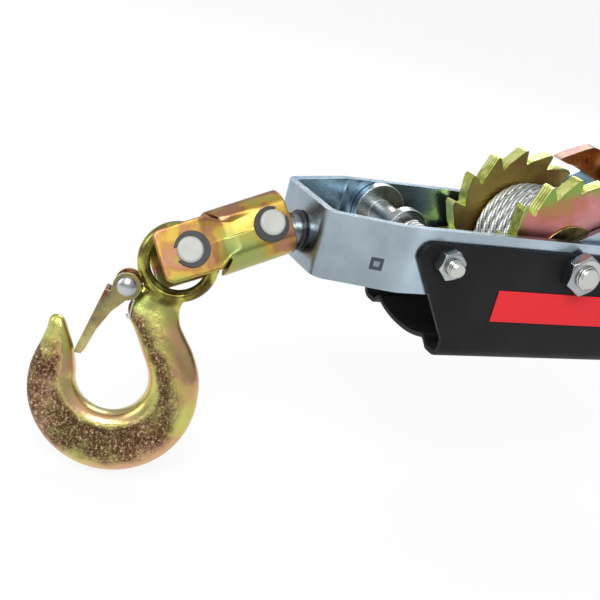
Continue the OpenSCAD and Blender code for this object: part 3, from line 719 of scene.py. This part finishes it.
# The wheels' other faces: an olive film, and darker than the near outer face as painted shade.
FACE_IN_SHADE = wheel_face("far_wheel_face", band((0, 150, 118, 76), (0.4, 168, 148, 80),
                                             (0.7, 184, 156, 92), (1, 190, 140, 104)),
                      rim=colour(172, 160, 94), rim_from=36.0, rim_to=43.0,
                      shift=(0.02, 0.05, 0.01))
TOOTH = plated("tooth_edges", band((0, 176, 180, 92), (0.4, 214, 220, 128), (1, 234, 238, 160)),
               patch=70.0, rough=0.36, bump=0.35, grain=700.0, streak=0.6)
WASHER = plated("washer_zinc", band((0, 52, 46, 26), (0.6, 92, 82, 48), (1, 120, 96, 64)),
                patch=90.0, rough=0.3, bump=0.3)
BLACK = coated("black_coat", colour(15, 15, 16), rough=0.5, grain=1300.0, bump=0.1, specular=0.2)
BLACK_EDGE = coated("black_coat_edge", colour(17, 17, 18), rough=0.46, grain=1300.0, bump=0.1,
                    specular=0.22)
CLIP = coated("black_oxide", colour(34, 34, 36), rough=0.36, grain=1500.0, bump=0.12, specular=0.7)
RUBBER = coated("moulded_rubber", colour(34, 34, 35), rough=0.62, grain=1000.0, bump=0.25)
LABEL = coated("red_film", colour(226, 34, 42), rough=0.42, grain=1800.0, bump=0.05, lift=0.04,
               specular=0.25)
PIN = plated("pin_zinc", band((0, 176, 178, 170), (1, 190, 192, 184)), patch=90.0,
             rough=0.5, metallic=0.35, bump=0.14, grain=1500.0)
BOLT = threaded_metal()
ROPE = strand_metal("galvanised_strands")
SPRING = plated("spring_wire", band((0, 190, 192, 192), (1, 222, 224, 224)), patch=120.0,
                rough=0.28)


# ---------------------------------------------------------------- rope
FREE_ROUTE = [[6.5, 16.3, 24.9], [17, 15.6, 24.9], [30, 14.2, 24.7], [42, 12.0, 24.3],
              [54, 9.4, 23.7], [66, 6.6, 22.9], [78, 3.9, 22.0], [90, 1.6, 21.2],
              [100, 0.5, 22.0], [106, 0.1, 22.9], [118, 0, 23.1], [129, 0, 23.1]]
THIMBLE_AT = np.array([146.0, 0.0, 20.5])
LOOP_R = 12.8
ROPE_D = 5.0


def rope_route():
    """The free rope's line in millimetres: drum, ferrule, round the thimble, ferrule again."""
    a = np.radians(np.linspace(138, -138, 31))
    loop = THIMBLE_AT + LOOP_R * np.stack([np.cos(a), 0 * a, np.sin(a)], 1)
    back = [[131.5, 0, 17.3], [129, 0, 17.9], [120, 0, 17.9], [107, 0, 17.9]]
    return np.vstack([FREE_ROUTE, [[131.5, 0, 23.7]], loop, back])


route = rope_route()
rope = wire_rope("rope_to_hook", route, ROPE_D, "frame", ("rope_free", "rope_eye"))
ferrule = finished("rope_ferrule", "ferrule", BRIGHT, BRIGHT_EDGE_HIGHLIGHT, bevel=0.9, segments=3)
thimble = finished("rope_thimble", "thimble", BRIGHT, BRIGHT_EDGE_HIGHLIGHT, bevel=0.2)

DRUM_TURNS, DRUM_PITCH, WIND_R = 6, 5.5, 24.8
WOUND_D = 5.4               # the outer turns, a little thicker than the rope so that they close up
CORE_TURNS, CORE_PITCH, CORE_R = 7, 5.3, 19.7


def coil_line(radius, turns, steps, start, pitch, tail):
    """A helix about Y: (r cos a, y0 + p (a0 - a) / 2 pi, r sin a), with straight tails of one
    length; steps is the number of points to a turn."""
    a = np.linspace(np.radians(90 + 360 * turns), np.radians(90), turns * steps + 1)
    line = np.stack([radius * np.cos(a), start + pitch * (a[0] - a) / TAU, radius * np.sin(a)], 1)
    return np.vstack([line[0] - [tail, 0, 0], line, line[-1] + [tail, 0, 0]])


def drum_turns(radius, turns, pitch, tail):
    """Turns of rope centred on the drum; a negative pitch winds them the other way."""
    return coil_line(radius, turns, 48, -pitch * turns / 2, pitch, tail)


wire_rope("drum_rope_outer", drum_turns(WIND_R, DRUM_TURNS, DRUM_PITCH, tail=5.0), WOUND_D,
          "drum", "rope_winding")
wire_rope("drum_rope_inner", drum_turns(CORE_R, CORE_TURNS, -CORE_PITCH, tail=0.5), ROPE_D,
          "drum", "rope_core", step=1.6, sides=6)


# ---------------------------------------------------------------- springs
def bent_wire(name, node, path, wire, sides, lead=(0, 0, 1)):
    """A spring's wire of a thickness, bent along a path."""
    points, faces = tube_mesh(path, wire / 2, sides, lead)
    new_piece(name, points, faces, SPRING, BODY_OF[node], node, WIRE_HARD_ABOVE)


def spring(name, node, at, radius, wire, start, pitch, turns):
    """A coil about Y round a centre x, z, from a start in Y."""
    path = coil_line(radius, turns, 28, start, pitch, wire) + [at[0], 0, at[1]]
    bent_wire(name, node, path, wire, 12, (0, 1, 0))


TIE_AT, PAWL_AT, REAR_AT = (-80.5, 0.0), (57.97, 38.07), (56.0, -9.0)
spring("tie_coil", "tie_spring", TIE_AT, radius=6.6, wire=2.0, start=-30.6, pitch=2.9, turns=9)
spring("drive_spring", "drive_pawl_spring", PAWL_AT, radius=8.0, wire=1.4, start=5, pitch=2.0,
       turns=5)
spring("holding_spring", "holding_pawl_spring", REAR_AT, radius=9.0, wire=1.5, start=5, pitch=2.1,
       turns=5)


# ---------------------------------------------------------------- ratchet wheels
TEETH, TIP_R, ROOT_R, TIP_ANGLE, HUB_R = 16, 44.0, 36.5, 96.75, 14.0
WHEEL_IN, WHEEL_OUT, PLATES = 19.5, 27.0, 4
# One tooth: each corner's radius, and its angle in radians past the tip before or, where
# negative, before the tip after
TOOTH_CORNERS = [(ROOT_R + 0.4, 0.0), (ROOT_R + 1.4, 0.003), (TIP_R - 0.25, 0.005),
                 (TIP_R, 0.014), (TIP_R - 0.1, 0.055), (ROOT_R + 1.7, -0.085),
                 (ROOT_R + 0.5, -0.04), (ROOT_R, -0.016)]


def ratchet_outline(step=0.8):
    """Tooth outline in polar form: a straight back from root to tip, a flat tip, a hooked face."""
    pitch = TAU / TEETH
    radius, past = np.array(TOOTH_CORNERS).T
    a = np.radians(TIP_ANGLE) + pitch * np.arange(TEETH)[:, None] + past + pitch * (past < 0)
    corners = np.stack([radius * np.cos(a), radius * np.sin(a)], -1).reshape(-1, 2)
    closed = np.vstack([corners, corners[:1]])
    s = np.concatenate([[0], np.cumsum(np.linalg.norm(np.diff(closed, axis=0), axis=1))])
    marks = np.unique(np.concatenate([np.arange(0, s[-1], step), s[:-1]]))
    return np.stack([np.interp(marks, s, closed[:, k]) for k in (0, 1)], 1)


def wheel(name, node, y_sign, face_in, face_out):
    """Four stamped plates clamped together: rows of the outline, drawn in a little at each joint.

    Rows run from the bore over one face, across the edges and back over the other face.
    """
    outline = ratchet_outline()
    radius = np.linalg.norm(outline, axis=1)[:, None]
    spoke = outline / radius
    face_rings = [spoke * HUB_R, spoke * (radius - 9), spoke * (radius - 1.2)]
    rows = [(ring, WHEEL_IN) for ring in face_rings]
    thick = (WHEEL_OUT - WHEEL_IN) / PLATES
    for k in range(PLATES):
        y = WHEEL_IN + k * thick
        edge = [(0.42, 0.0), (0.12, 0.10), (0.0, 0.34), (0.0, thick - 0.34), (0.12, thick - 0.10),
                (0.42, thick)]
        rows += [(spoke * (radius - inset), y + up) for inset, up in (edge[1:] if k else edge)]
    rows += [(ring, WHEEL_OUT) for ring in reversed(face_rings)]
    points = np.concatenate([np.column_stack([xz[:, 0], np.full(len(xz), y_sign * y), xz[:, 1]])
                             for xz, y in rows])
    faces = grid_faces(len(rows), len(outline), wrap_rows=True)
    if y_sign > 0:
        faces = faces[:, ::-1]
    piece = new_piece(name, points, faces.tolist(), face_in, "drum", node,
                      smooth=38)
    piece.data.materials.append(face_out)
    piece.data.materials.append(TOOTH)
    row = np.repeat(np.arange(len(rows)), len(outline))
    number = np.where(row < 3, 0, np.where(row >= len(rows) - 4, 1, 2))
    number[row == len(rows) - 1] = 0
    piece.data.polygons.foreach_set("material_index", number.astype(np.int32))


wheel("wheel_far", "ratchet_wheel_far", 1, FACE_IN_SHADE, FACE_IN_SHADE)
wheel("wheel_near", "ratchet_wheel_near", -1, FACE_IN_SHADE, NEAR_FACE)
finished("drum_hub", "hub_sleeve", YELLOW, YELLOW_EDGE)
finished("thrust_washers", "axle_washers", WASHER, YELLOW_EDGE)


# ---------------------------------------------------------------- hooks
THROAT_R, BOWL_R, BOWL_T = 16.6, 38.9, 9.0
THROAT_AT, BOWL_AT = np.array([-20.5, -62.5]), np.array([-18.8, -68.3])
EYE_AT, EYE_R, EYE_W, EYE_T = np.array([-2.0, -4.5]), 15.7, 2.9, 4.0
RIVET_AT, BOSS_R = np.array([-22.0, -19.3]), 4.9


def hook_sections():
    """The hook from neck to tip: inner point, outer point and half thickness of each section."""
    neck = [[-14.5, -20, 5, -18.5, 4.2], [-19.5, -27, 3.2, -25.5, 5.4],
            [-19.2, -32.5, 4.8, -32.7, 7.0], [-15, -38.7, 8.4, -38, 8.2],
            [-9.8, -47.6, 13.7, -45.2, 8.8], [-5.2, -56, 18.0, -54.0, BOWL_T]]
    bowl = []
    for i in range(13):
        a = np.radians(-15 * i)
        d = np.array([np.cos(a), np.sin(a)])
        w = THROAT_AT - BOWL_AT
        b = w @ d
        k = -b + np.sqrt(b * b + BOWL_R ** 2 - w @ w)
        bowl.append([*(THROAT_AT + THROAT_R * d), *(THROAT_AT + k * d),
                     BOWL_T - 2.4 * (i / 12) ** 3])
    tip = [[-39.9, -53.5, -54.9, -53.3, 5.6], [-43, -47, -53.4, -46.8, 4.6],
           [-45.6, -42.2, -53, -42.2, 3.4], [-47.6, -39.8, -51.6, -39.8, 1.7]]
    return np.array(neck + bowl + tip)


def hook_surface(sides=56):
    """Sections joined by a smooth curve: m + h c across and t q (1 - 0.17 (c + 0.4)) through, with
    c = sign(cos a) |cos a|^0.85 and q = sign(sin a) |sin a|^0.74, so that the flanks are flat and
    the inside of the bowl is the fuller side. A shallow valley runs along the flanks."""
    fine = smoothed(hook_sections(), 6)
    inner, outer, t = fine[:, 0:2], fine[:, 2:4], fine[:, 4]
    m, h = (inner + outer) / 2, (outer - inner) / 2
    a = np.arange(sides) * TAU / sides
    c = np.sign(np.cos(a)) * np.abs(np.cos(a)) ** 0.85
    q = np.sign(np.sin(a)) * np.abs(np.sin(a)) ** 0.74
    plane = m[:, None] + c[None, :, None] * h[:, None]
    valley = 0.07 * np.exp(-((c + 0.02) / 0.26) ** 2)
    through = t[:, None] * (q * (1 - 0.17 * (c + 0.4) - valley))[None, :]
    points = np.stack([plane[..., 0], through, plane[..., 1]], -1).reshape(-1, 3)
    faces = grid_faces(len(fine), sides).tolist()
    faces += [list(range(sides))[::-1], list(range(len(points) - sides, len(points)))]
    return points, faces


def eye_surface(around=96, across=28):
    """The eye: ((R + w cos a) cos s, t sin a, (R + w cos a) sin s) about its own centre."""
    s, a = np.meshgrid(np.arange(around) * TAU / around, np.arange(across) * TAU / across,
                       indexing="ij")
    r = EYE_R + EYE_W * np.cos(a)
    points = np.stack([EYE_AT[0] + r * np.cos(s), EYE_T * np.sin(a), EYE_AT[1] + r * np.sin(s)],
                      -1).reshape(-1, 3)
    return points, grid_faces(around, across, wrap_rows=True).tolist()


def boss_surface(sides=32):
    """The rivet's boss and the shoulder that carries it: a rounded slab in the hook's plane, whose
    reach grows by 1.15 cos^6 (a + 30) towards the hook's back."""
    a = np.arange(sides) * TAU / sides
    towards = np.maximum(np.cos(a + np.radians(30)), 0)
    reach = BOSS_R * (1 + 1.15 * towards ** 6)[:, None] * np.stack([np.cos(a), np.sin(a)], 1)
    rows = []
    for y, share in ((-2.5, 0.0), (-2.5, 0.85), (-2.0, 1.0), (2.0, 1.0), (2.5, 0.85), (2.5, 0.0)):
        xz = RIVET_AT + share * reach
        rows.append(np.stack([xz[:, 0], np.full(sides, y), xz[:, 1]], 1))
    return np.vstack(rows), grid_faces(6, sides).tolist()


# Where the dark scale begins and ends across the hook (-1 inside, 1 outside), section by section
SCALE_FROM = [-.9, -.85, -.8, -.75, -.7, -.62, -.5, -.48, -.48, -.5, -.55, -.6, -.6, -.58, -.5, -.42,
              -.36, -.3, -.3, -.3, -.3, -.3, -.3]
SCALE_TO = [.0, .0, -.1, -.1, -.05, 0, .1, .3, .5, .62, .66, .6, .6, .62, .8, 1, 1.2, 1.3, 1.3, 1.2,
            .9, .7, .6]


def step_up(value, low, high):
    """0 below low, 1 above high, 3 u^2 - 2 u^3 between."""
    u = np.clip((value - low) / (high - low), 0, 1)
    return u * u * (3 - 2 * u)


def scale_shares(local, sides=56):
    """For points of a hook, in its own frame: the shares of scale, eye finish and pink blush."""
    surface = hook_surface(sides)[0]
    tree = KDTree(len(surface))
    for i, point in enumerate(surface):
        tree.insert(point, i)
    tree.balance()
    nearest = np.array([tree.find(point)[1] for point in local])
    row, a = nearest // sides, (nearest % sides) * TAU / sides
    section = row / (len(surface) // sides - 1) * (len(SCALE_FROM) - 1)
    across = np.cos(a)
    low = np.interp(section, range(len(SCALE_FROM)), SCALE_FROM)
    high = np.interp(section, range(len(SCALE_TO)), SCALE_TO)
    share = step_up(across, low - 0.2, low + 0.2) * (1 - step_up(across, high - 0.4, high + 0.4))
    below_neck, at_tip = step_up(section, 0.6, 2.2), step_up(section, 17.5, 20.5)
    share *= below_neck * (1 - 0.75 * at_tip)
    from_eye = np.linalg.norm(local[:, [0, 2]] - EYE_AT, axis=1)
    eye = 1 - step_up(from_eye, EYE_R + 2, EYE_R + 7)
    inside = 1 - step_up(across, low - 0.25, low + 0.1)
    bowl_bottom = step_up(section, 8, 11) * (1 - step_up(section, 14, 17))
    inside = np.maximum(inside, 0.75 * step_up(across, 0.35, 0.85) * bowl_bottom)
    return share * (1 - eye), eye, inside * (1 - eye)


def build_hook(name, node, place):
    """The forging: bowl, eye and boss run together by a voxel remesh, then eased."""
    points, faces = joined(hook_surface(), eye_surface(), boss_surface())
    piece = one_skin(name, points, faces, voxel=0.62, rounds=8, material=FORGED)
    local = points_of(piece)
    for key, values in zip(("scale", "eye", "blush"), scale_shares(local)):
        mark_points(piece, key, values)
    move_points(piece, place(local))
    settle(piece, BODY_OF[node], node)


CLEVIS_TILT, CLEVIS_ROLL = np.radians(23.6), np.radians(32)
SWIVEL_Z, CLEVIS_X, PIN_GAP = -4.3, 156.5, 39.8
CLEVIS_AXES = ((np.cos(CLEVIS_TILT), 0, np.sin(CLEVIS_TILT)),
               (np.sin(CLEVIS_TILT) * np.sin(CLEVIS_ROLL), np.cos(CLEVIS_ROLL),
                -np.cos(CLEVIS_TILT) * np.sin(CLEVIS_ROLL)),
               (-np.sin(CLEVIS_TILT) * np.cos(CLEVIS_ROLL), np.sin(CLEVIS_ROLL),
                np.cos(CLEVIS_TILT) * np.cos(CLEVIS_ROLL)))
HOOK_TURN, HOOK_LEAN, HOOK_SHIFT = np.radians(24), np.radians(10), 0.8
HOOK_X = np.array([np.cos(HOOK_TURN), -np.sin(HOOK_TURN), 0])
HOOK_Y = np.array([np.sin(HOOK_TURN) * np.cos(HOOK_LEAN), np.cos(HOOK_TURN) * np.cos(HOOK_LEAN),
                   -np.sin(HOOK_LEAN)])
HOOK_Z = np.cross(HOOK_X, HOOK_Y)
LOAD_AT = np.array([146, 2, 20.5 - 5.5 - EYE_R + 4.5])


def on_clevis(points):
    """Points of the clevis's own frame, whose X runs from the stud's eye along the yoke."""
    return placed(points, (-CLEVIS_X, 0, SWIVEL_Z), *CLEVIS_AXES)


HOOK_AT = on_clevis((-PIN_GAP, -HOOK_SHIFT, 0))


def on_anchor(points):
    """Points of a hook's own frame, hung on the clevis's outer pin."""
    return placed(points, HOOK_AT, HOOK_X, HOOK_Y, HOOK_Z)


def on_load(points):
    """Points of a hook's own frame, hung in the rope's thimble across the winch."""
    return placed(points, LOAD_AT, (0, 1, 0), (-1, 0, 0), (0, 0, 1))


LATCH_COIL_R, LATCH_WIRE = 3.9, 0.9


def latch_wire(name, node, place):
    """The latch's double torsion spring: a coil each side of the boss, (r cos a, y, r sin a), a leg
    down the hook's inside from each, and a short bridge between them over the boss."""
    a = np.linspace(np.radians(450), 0, 48)
    coil = np.stack([RIVET_AT[0] + LATCH_COIL_R * np.cos(a), np.linspace(2.9, 5.05, len(a)),
                     RIVET_AT[1] + LATCH_COIL_R * np.sin(a)], 1)
    bridge = np.array([[-27.6, 0, -18.9], [-27.6, 1.8, -18.8], [-27.4, 2.6, -18.0],
                       [-26.6, 2.85, -16.6], [-25.2, 2.9, -15.6], [-23.6, 2.9, -15.35]])
    leg = np.array([[-18.0, 5.1, -23.5], [-18.05, 5.15, -28.0], [-18.15, 5.15, -32.4],
                    [-18.5, 5.1, -33.3], [-19.1, 5.05, -33.0], [-19.6, 5.0, -31.6]])
    half = np.vstack([bridge, coil, leg])
    path = resampled(np.vstack([half[:0:-1] * [1, -1, 1], half]), 0.4)[0]
    bent_wire(name, node, place(path), LATCH_WIRE, 10)


build_hook("anchor_hook_forging", "anchor_hook", on_anchor)
build_hook("load_hook_forging", "load_hook", on_load)
for side, place in (("anchor", on_anchor), ("load", on_load)):
    finished(side + "_latch", side + "_latch_plate", LATCH, LATCH_EDGE_HIGHLIGHT)
    finished(side + "_latch_rivet", side + "_rivet", BRIGHT, BRIGHT_EDGE_HIGHLIGHT, segments=3)
    latch_wire(side + "_latch_wire", side + "_latch_spring", place)


# ---------------------------------------------------------------- swivel and clevis
BARREL_FROM, BARREL_TO, BARREL_R, BARREL_T = -26.5, 9.0, 15.1, 2.7
CHEEK_IN, CHEEK_OUT, RING_ROOM = 10.0, 12.5, 19.7


def yoke_shell(sides=120, soft=0.6):
    """The barrel and two cheeks in the clevis's frame. The barrel is a tube pressed flat at its
    sides: (softmin(r |cos a|, half), r sin a), softmin(v, m) = -k log(e^(-v/k) + e^(-m/k))."""
    a = np.arange(sides) * TAU / sides
    rows = []
    for r, half, order in ((BARREL_R, CHEEK_OUT, (0, 1)), (BARREL_R - BARREL_T, CHEEK_IN, (1, 0))):
        flat = np.exp(-r * np.abs(np.cos(a)) / soft) + np.exp(-half / soft)
        y = -soft * np.log(flat) * np.sign(np.cos(a))
        z = r * np.sin(a)
        start = np.maximum(BARREL_FROM, -PIN_GAP + np.sqrt(RING_ROOM ** 2 - z * z))
        ends = [np.stack([x + 0 * a, y, z], 1) for x in (start, BARREL_TO)]
        rows += [ends[i] for i in order]
    meshes = [(np.concatenate(rows), grid_faces(4, sides, wrap_rows=True).tolist())]
    shoulder = [(-17, 7), (-22, 8.2), (-25.5, 10.5), (-28.5, 12.7)]
    corner = [(x + r * np.cos(t), z + r * np.sin(t))
              for x, z, r, t0 in ((-50.5, 9.7, 3, 90), (-50.3, -7.8, 4, 180))
              for t in np.radians(np.linspace(t0, t0 + 90, 8))]
    outline = np.array(shoulder + corner + [(x, -z) for x, z in reversed(shoulder)])
    n = len(outline)
    for side in (-1, 1):
        points = np.concatenate([np.column_stack([outline[:, 0], np.full(n, side * y), outline[:, 1]])
                                 for y in (CHEEK_IN, CHEEK_OUT)])
        faces = grid_faces(2, n).tolist() + [list(range(n)), list(range(n, 2 * n))]
        meshes.append((points, faces))
    return joined(*meshes)


def pressed_in(p):
    """How far the sheet is pressed towards the middle, in millimetres: a valley below the barrel's
    upper edge and above its lower one, deepest where the cheeks begin."""
    x, z = p[:, 0], p[:, 2]
    deep = np.interp(x, [-32, -27, -22, -14, -4], [0, 0.8, 1.3, 1.0, 0])
    deep = np.where(z > 0, deep, np.interp(x, [-31, -27, -24, -17], [0, 0.5, 0.8, 0]))
    u = np.abs(z) - np.interp(x, [-28, -24, -18, -8, 2], [11.6, 9.6, 7.8, 8.4, 9.5])
    return deep * (1 - step_up(u, -2.2, 2.0)) * np.exp(np.minimum(u + 1.5, 0) / 6)


def build_yoke():
    """The rolled yoke: its shell as one skin, pressed in along the sides."""
    points, faces = yoke_shell()
    piece = one_skin("yoke", points, faces, voxel=0.42, rounds=5, material=YELLOW)
    local = points_of(piece)
    side = np.sign(local[:, 1]) * step_up(np.abs(local[:, 1]), 5, 9)
    local[:, 1] -= side * pressed_in(local)
    move_points(piece, on_clevis(local))
    settle(piece, "clevis", "clevis_yoke")


build_yoke()
finished("clevis_pins", "pins", PIN, PIN)
finished("retaining_clips", "clips", CLIP, CLIP, bevel=0.2)
finished("swivel_stud", "stud", BRIGHT, BRIGHT_EDGE_HIGHLIGHT, bevel=0.5, segments=3)
finished("stud_nut", "nut_on_stud", BRIGHT, BRIGHT_EDGE_HIGHLIGHT, bevel=0.25)
finished("nose_washer", "washer_at_nose", CLIP, CLIP)


# ---------------------------------------------------------------- frame
finished("frame_strap", "strap", STRAP, BRIGHT_EDGE_HIGHLIGHT, bevel=0.7, segments=3)
finished("guard_channel", "guard", BLACK, BLACK_EDGE, bevel=0.6, segments=3)
finished("label_plate", "label", LABEL, LABEL, bevel=0.15)
finished("tie_spool", "spool", BRIGHT, BRIGHT_EDGE_HIGHLIGHT, bevel=0.5, segments=3)
finished("rear_spacers", "spacers", BRIGHT, BRIGHT_EDGE_HIGHLIGHT, bevel=0.4)


THREAD_DEPTH, END_CHAMFER = 0.6, 1.1    # a share of the pitch, and millimetres


def around(rows, a):
    """Rows of (radius, height) arrays set round an axis: (r cos a, -h, r sin a)."""
    return np.concatenate([np.stack([r * np.cos(a), -h + 0 * a, r * np.sin(a)], 1) for r, h in rows])


def hexagon(flats, low, high, bore, turn, sides=72):
    """A hexagon between two heights, its top corners cut by a cone of 30 degrees:
    R = flats / 2 / cos(a mod 60 - 30), top at high - (R - 0.475 flats) tan 30."""
    a = np.arange(sides) * TAU / sides
    side = flats / 2 / np.cos(a % (TAU / 6) - TAU / 12)
    disc = 0.475 * flats
    shoulder = high - (side - disc) * np.tan(np.radians(30))
    rows = [(bore, low), (side, low), (side, shoulder), (disc, high), (bore, high)]
    return around(rows, a + np.radians(turn)), grid_faces(5, sides, wrap_rows=bore > 0).tolist()


def screw(radius, pitch, low, high, threaded, sides=48):
    """A shank whose last part is threaded: r = R - 0.6 p (1 - min(1, 1.25 |2 f - 1|)), where f is
    the fraction of h / p - a / 2 pi, and a chamfered end. Gives each point's share of the root."""
    a = np.arange(sides) * TAU / sides
    start = high - threaded
    h = np.concatenate([[low, low, start - 0.5], np.arange(start, high, pitch / 8), [high, high]])
    f = (h[:, None] / pitch - a[None] / TAU) % 1
    root = 1 - np.minimum(1, 1.25 * np.abs(2 * f - 1))
    bare, end = h[:, None] < start, h[:, None] > high - END_CHAMFER
    r = radius - np.where(bare, 0, THREAD_DEPTH * pitch * root)
    r = np.minimum(r, radius - np.maximum(h[:, None] - (high - END_CHAMFER), 0))
    r[0], r[-1] = 0, 0
    # each point's share of the root, which the bolt's material darkens as painted shade
    root_shade_share = np.where(bare | end, 0, root).ravel()
    return around(zip(r, h), a), grid_faces(len(h), sides).tolist(), root_shade_share


GUARD_OUTER = 38.5
HEAD_SHARE, THREAD_IN_NUT = 0.85, 3     # a head over its nut's height; thread behind the nut
# centre x, z, thread radius, flats, nut height, bare end, turn of the nut, pitch
FASTENERS = {"front": (TIE_AT, 4.0, 13.0, 6.5, 5.0, 15, 1.5),
             "axle": ((0.0, 0.0), 6.0, 19.0, 6.5, 3.0, 30, 1.9),
             "rear": (REAR_AT, 5.0, 17.0, 8.0, 4.0, 8, 1.5)}
for part, ((x, z), radius, flats, nut, bare, turn, pitch) in FASTENERS.items():
    head = hexagon(flats, GUARD_OUTER, GUARD_OUTER + nut * HEAD_SHARE, bore=0.0, turn=0)
    head[0][:, 1] *= -1
    *shank, root = screw(radius, pitch, -GUARD_OUTER, GUARD_OUTER + nut + bare,
                         nut + bare + THREAD_IN_NUT)
    points, faces = joined(head, shank)
    bolt = new_piece("bolt_" + part, points + [x, 0, z], faces, BOLT, "frame", part + "_bolt",
                     smooth=30)
    # marks the thread roots for their painted shade
    mark_points(bolt, "thread_root_shade", np.concatenate([np.zeros(len(head[0])), root]))
    face_outwards(bolt.data)
    shade_by_angle(bolt.data, 30)
    points, faces = hexagon(flats, GUARD_OUTER, GUARD_OUTER + nut, radius, turn)
    new_piece("nut_" + part, points + [x, 0, z], faces, BRIGHT, "frame", part + "_nut",
              smooth=30, bevel=0.25)


# ---------------------------------------------------------------- lever and pawls
def pawl_paint(centres, normals):
    """Cut edges of a blade, which don't face across the winch, take the second finish."""
    return np.where(np.abs(normals[:, 1]) > 0.7, 0, 1)


finished("lever_fork", "fork", STRAP, BRIGHT_EDGE_HIGHLIGHT, bevel=0.6, segments=3)
finished("lever_tube", "handle_tube", BRIGHT, BRIGHT_EDGE_HIGHLIGHT)
finished("lever_grip", "grip", RUBBER, RUBBER, bevel=0.0)
finished("pawl_pin", "pin_of_pawl", BRIGHT, BRIGHT_EDGE_HIGHLIGHT)
finished("pawl_clip", "clip_of_pawl", CLIP, CLIP, bevel=0.15)
finished("drive_pawl", "pawl_driving", [PAWL, PAWL_EDGE], PAWL_EDGE, bevel=0.6, segments=3,
         paint=pawl_paint)
finished("holding_pawl", "pawl_holding", [YELLOW, YELLOW_EDGE], YELLOW_EDGE, bevel=0.5,
         paint=pawl_paint)


# ---------------------------------------------------------------- floor, backdrop and light
def seen_white(s, light_path, *others):
    """1 where a ray comes straight from the camera or by one of the other kinds named."""
    seen = light_path["Is Camera Ray"]
    for kind in others:
        seen = s.math("MAXIMUM", seen, light_path[kind])
    return seen


def floor_white():
    """A white that the camera and reflections see, over a matt floor that takes shadow."""
    material, s, shader = start_material("floor_white", 0.0, 0.9)
    shader.inputs["Base Color"].default_value = (0.9, 0.9, 0.9, 1)
    light_path = s.add("ShaderNodeLightPath").outputs
    seen = seen_white(s, light_path, "Is Glossy Ray", "Is Transmission Ray")
    glow = s.add("ShaderNodeEmission", Color=(1, 1, 1, 1), Strength=1.0)
    both = s.add("ShaderNodeMixShader", in0=s.times(seen, 0.86), in1=shader, in2=glow)
    s.feed(material.node_tree.nodes["Material Output"], "Surface", both)
    return material


def lay_floor(reach=6.0, gap=0.001):
    """A square floor, in metres, a gap below the lowest point of the winch."""
    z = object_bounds()[0].z - gap
    mesh = bpy.data.meshes.new("floor")
    mesh.from_pydata([(-reach, -reach, z), (reach, -reach, z), (reach, reach, z),
                      (-reach, reach, z)], [], [(0, 1, 2, 3)])
    mesh.materials.append(floor_white())
    shown("floor", mesh)


def soft_box(name, at, aim, size, watts):
    """A rectangular area lamp at a place in metres, facing a point."""
    lamp = bpy.data.lights.new(name, "AREA")
    lamp.shape, lamp.size, lamp.size_y = "RECTANGLE", size[0], size[1]
    lamp.energy = watts
    thing = shown(name, lamp)
    thing.location = at
    thing.rotation_mode = "QUATERNION"
    thing.rotation_quaternion = (Vector(aim) - Vector(at)).to_track_quat("-Z", "Y")


def studio_world():
    """A pale room, lighter above, that the camera sees as plain white."""
    world = bpy.data.worlds.new("studio")
    scene.world = world
    world.use_nodes = True
    world.node_tree.nodes.clear()
    w = Shade(world.node_tree)
    light_path = w.add("ShaderNodeLightPath").outputs
    height = w.parts(w.add("ShaderNodeTexCoord").outputs["Generated"])[2]
    room = w.ramp(w.span(height, -0.1, 0.9), [
        (0.0, (0.34, 0.36, 0.39, 1)), (0.35, (0.62, 0.65, 0.70, 1)), (1.0, (0.95, 0.96, 0.98, 1))])
    sky = w.add("ShaderNodeBackground", Color=room, Strength=0.75)
    white = w.add("ShaderNodeBackground", Color=(1, 1, 1, 1), Strength=1.0)
    both = w.add("ShaderNodeMixShader", in0=seen_white(w, light_path, "Is Transmission Ray"),
                 in1=sky, in2=white)
    w.feed(w.add("ShaderNodeOutputWorld"), "Surface", both)


lay_floor()
soft_box("key", (-0.7, -0.9, 1.1), aim=(-0.05, 0, -0.02), size=(0.7, 0.7), watts=13)
soft_box("fill", (-1.3, 0.2, 0.5), aim=(-0.05, 0, 0), size=(0.6, 0.9), watts=3)
soft_box("back", (0.6, 1.1, 0.9), aim=(0, 0, 0), size=(0.9, 0.5), watts=8)
studio_world()
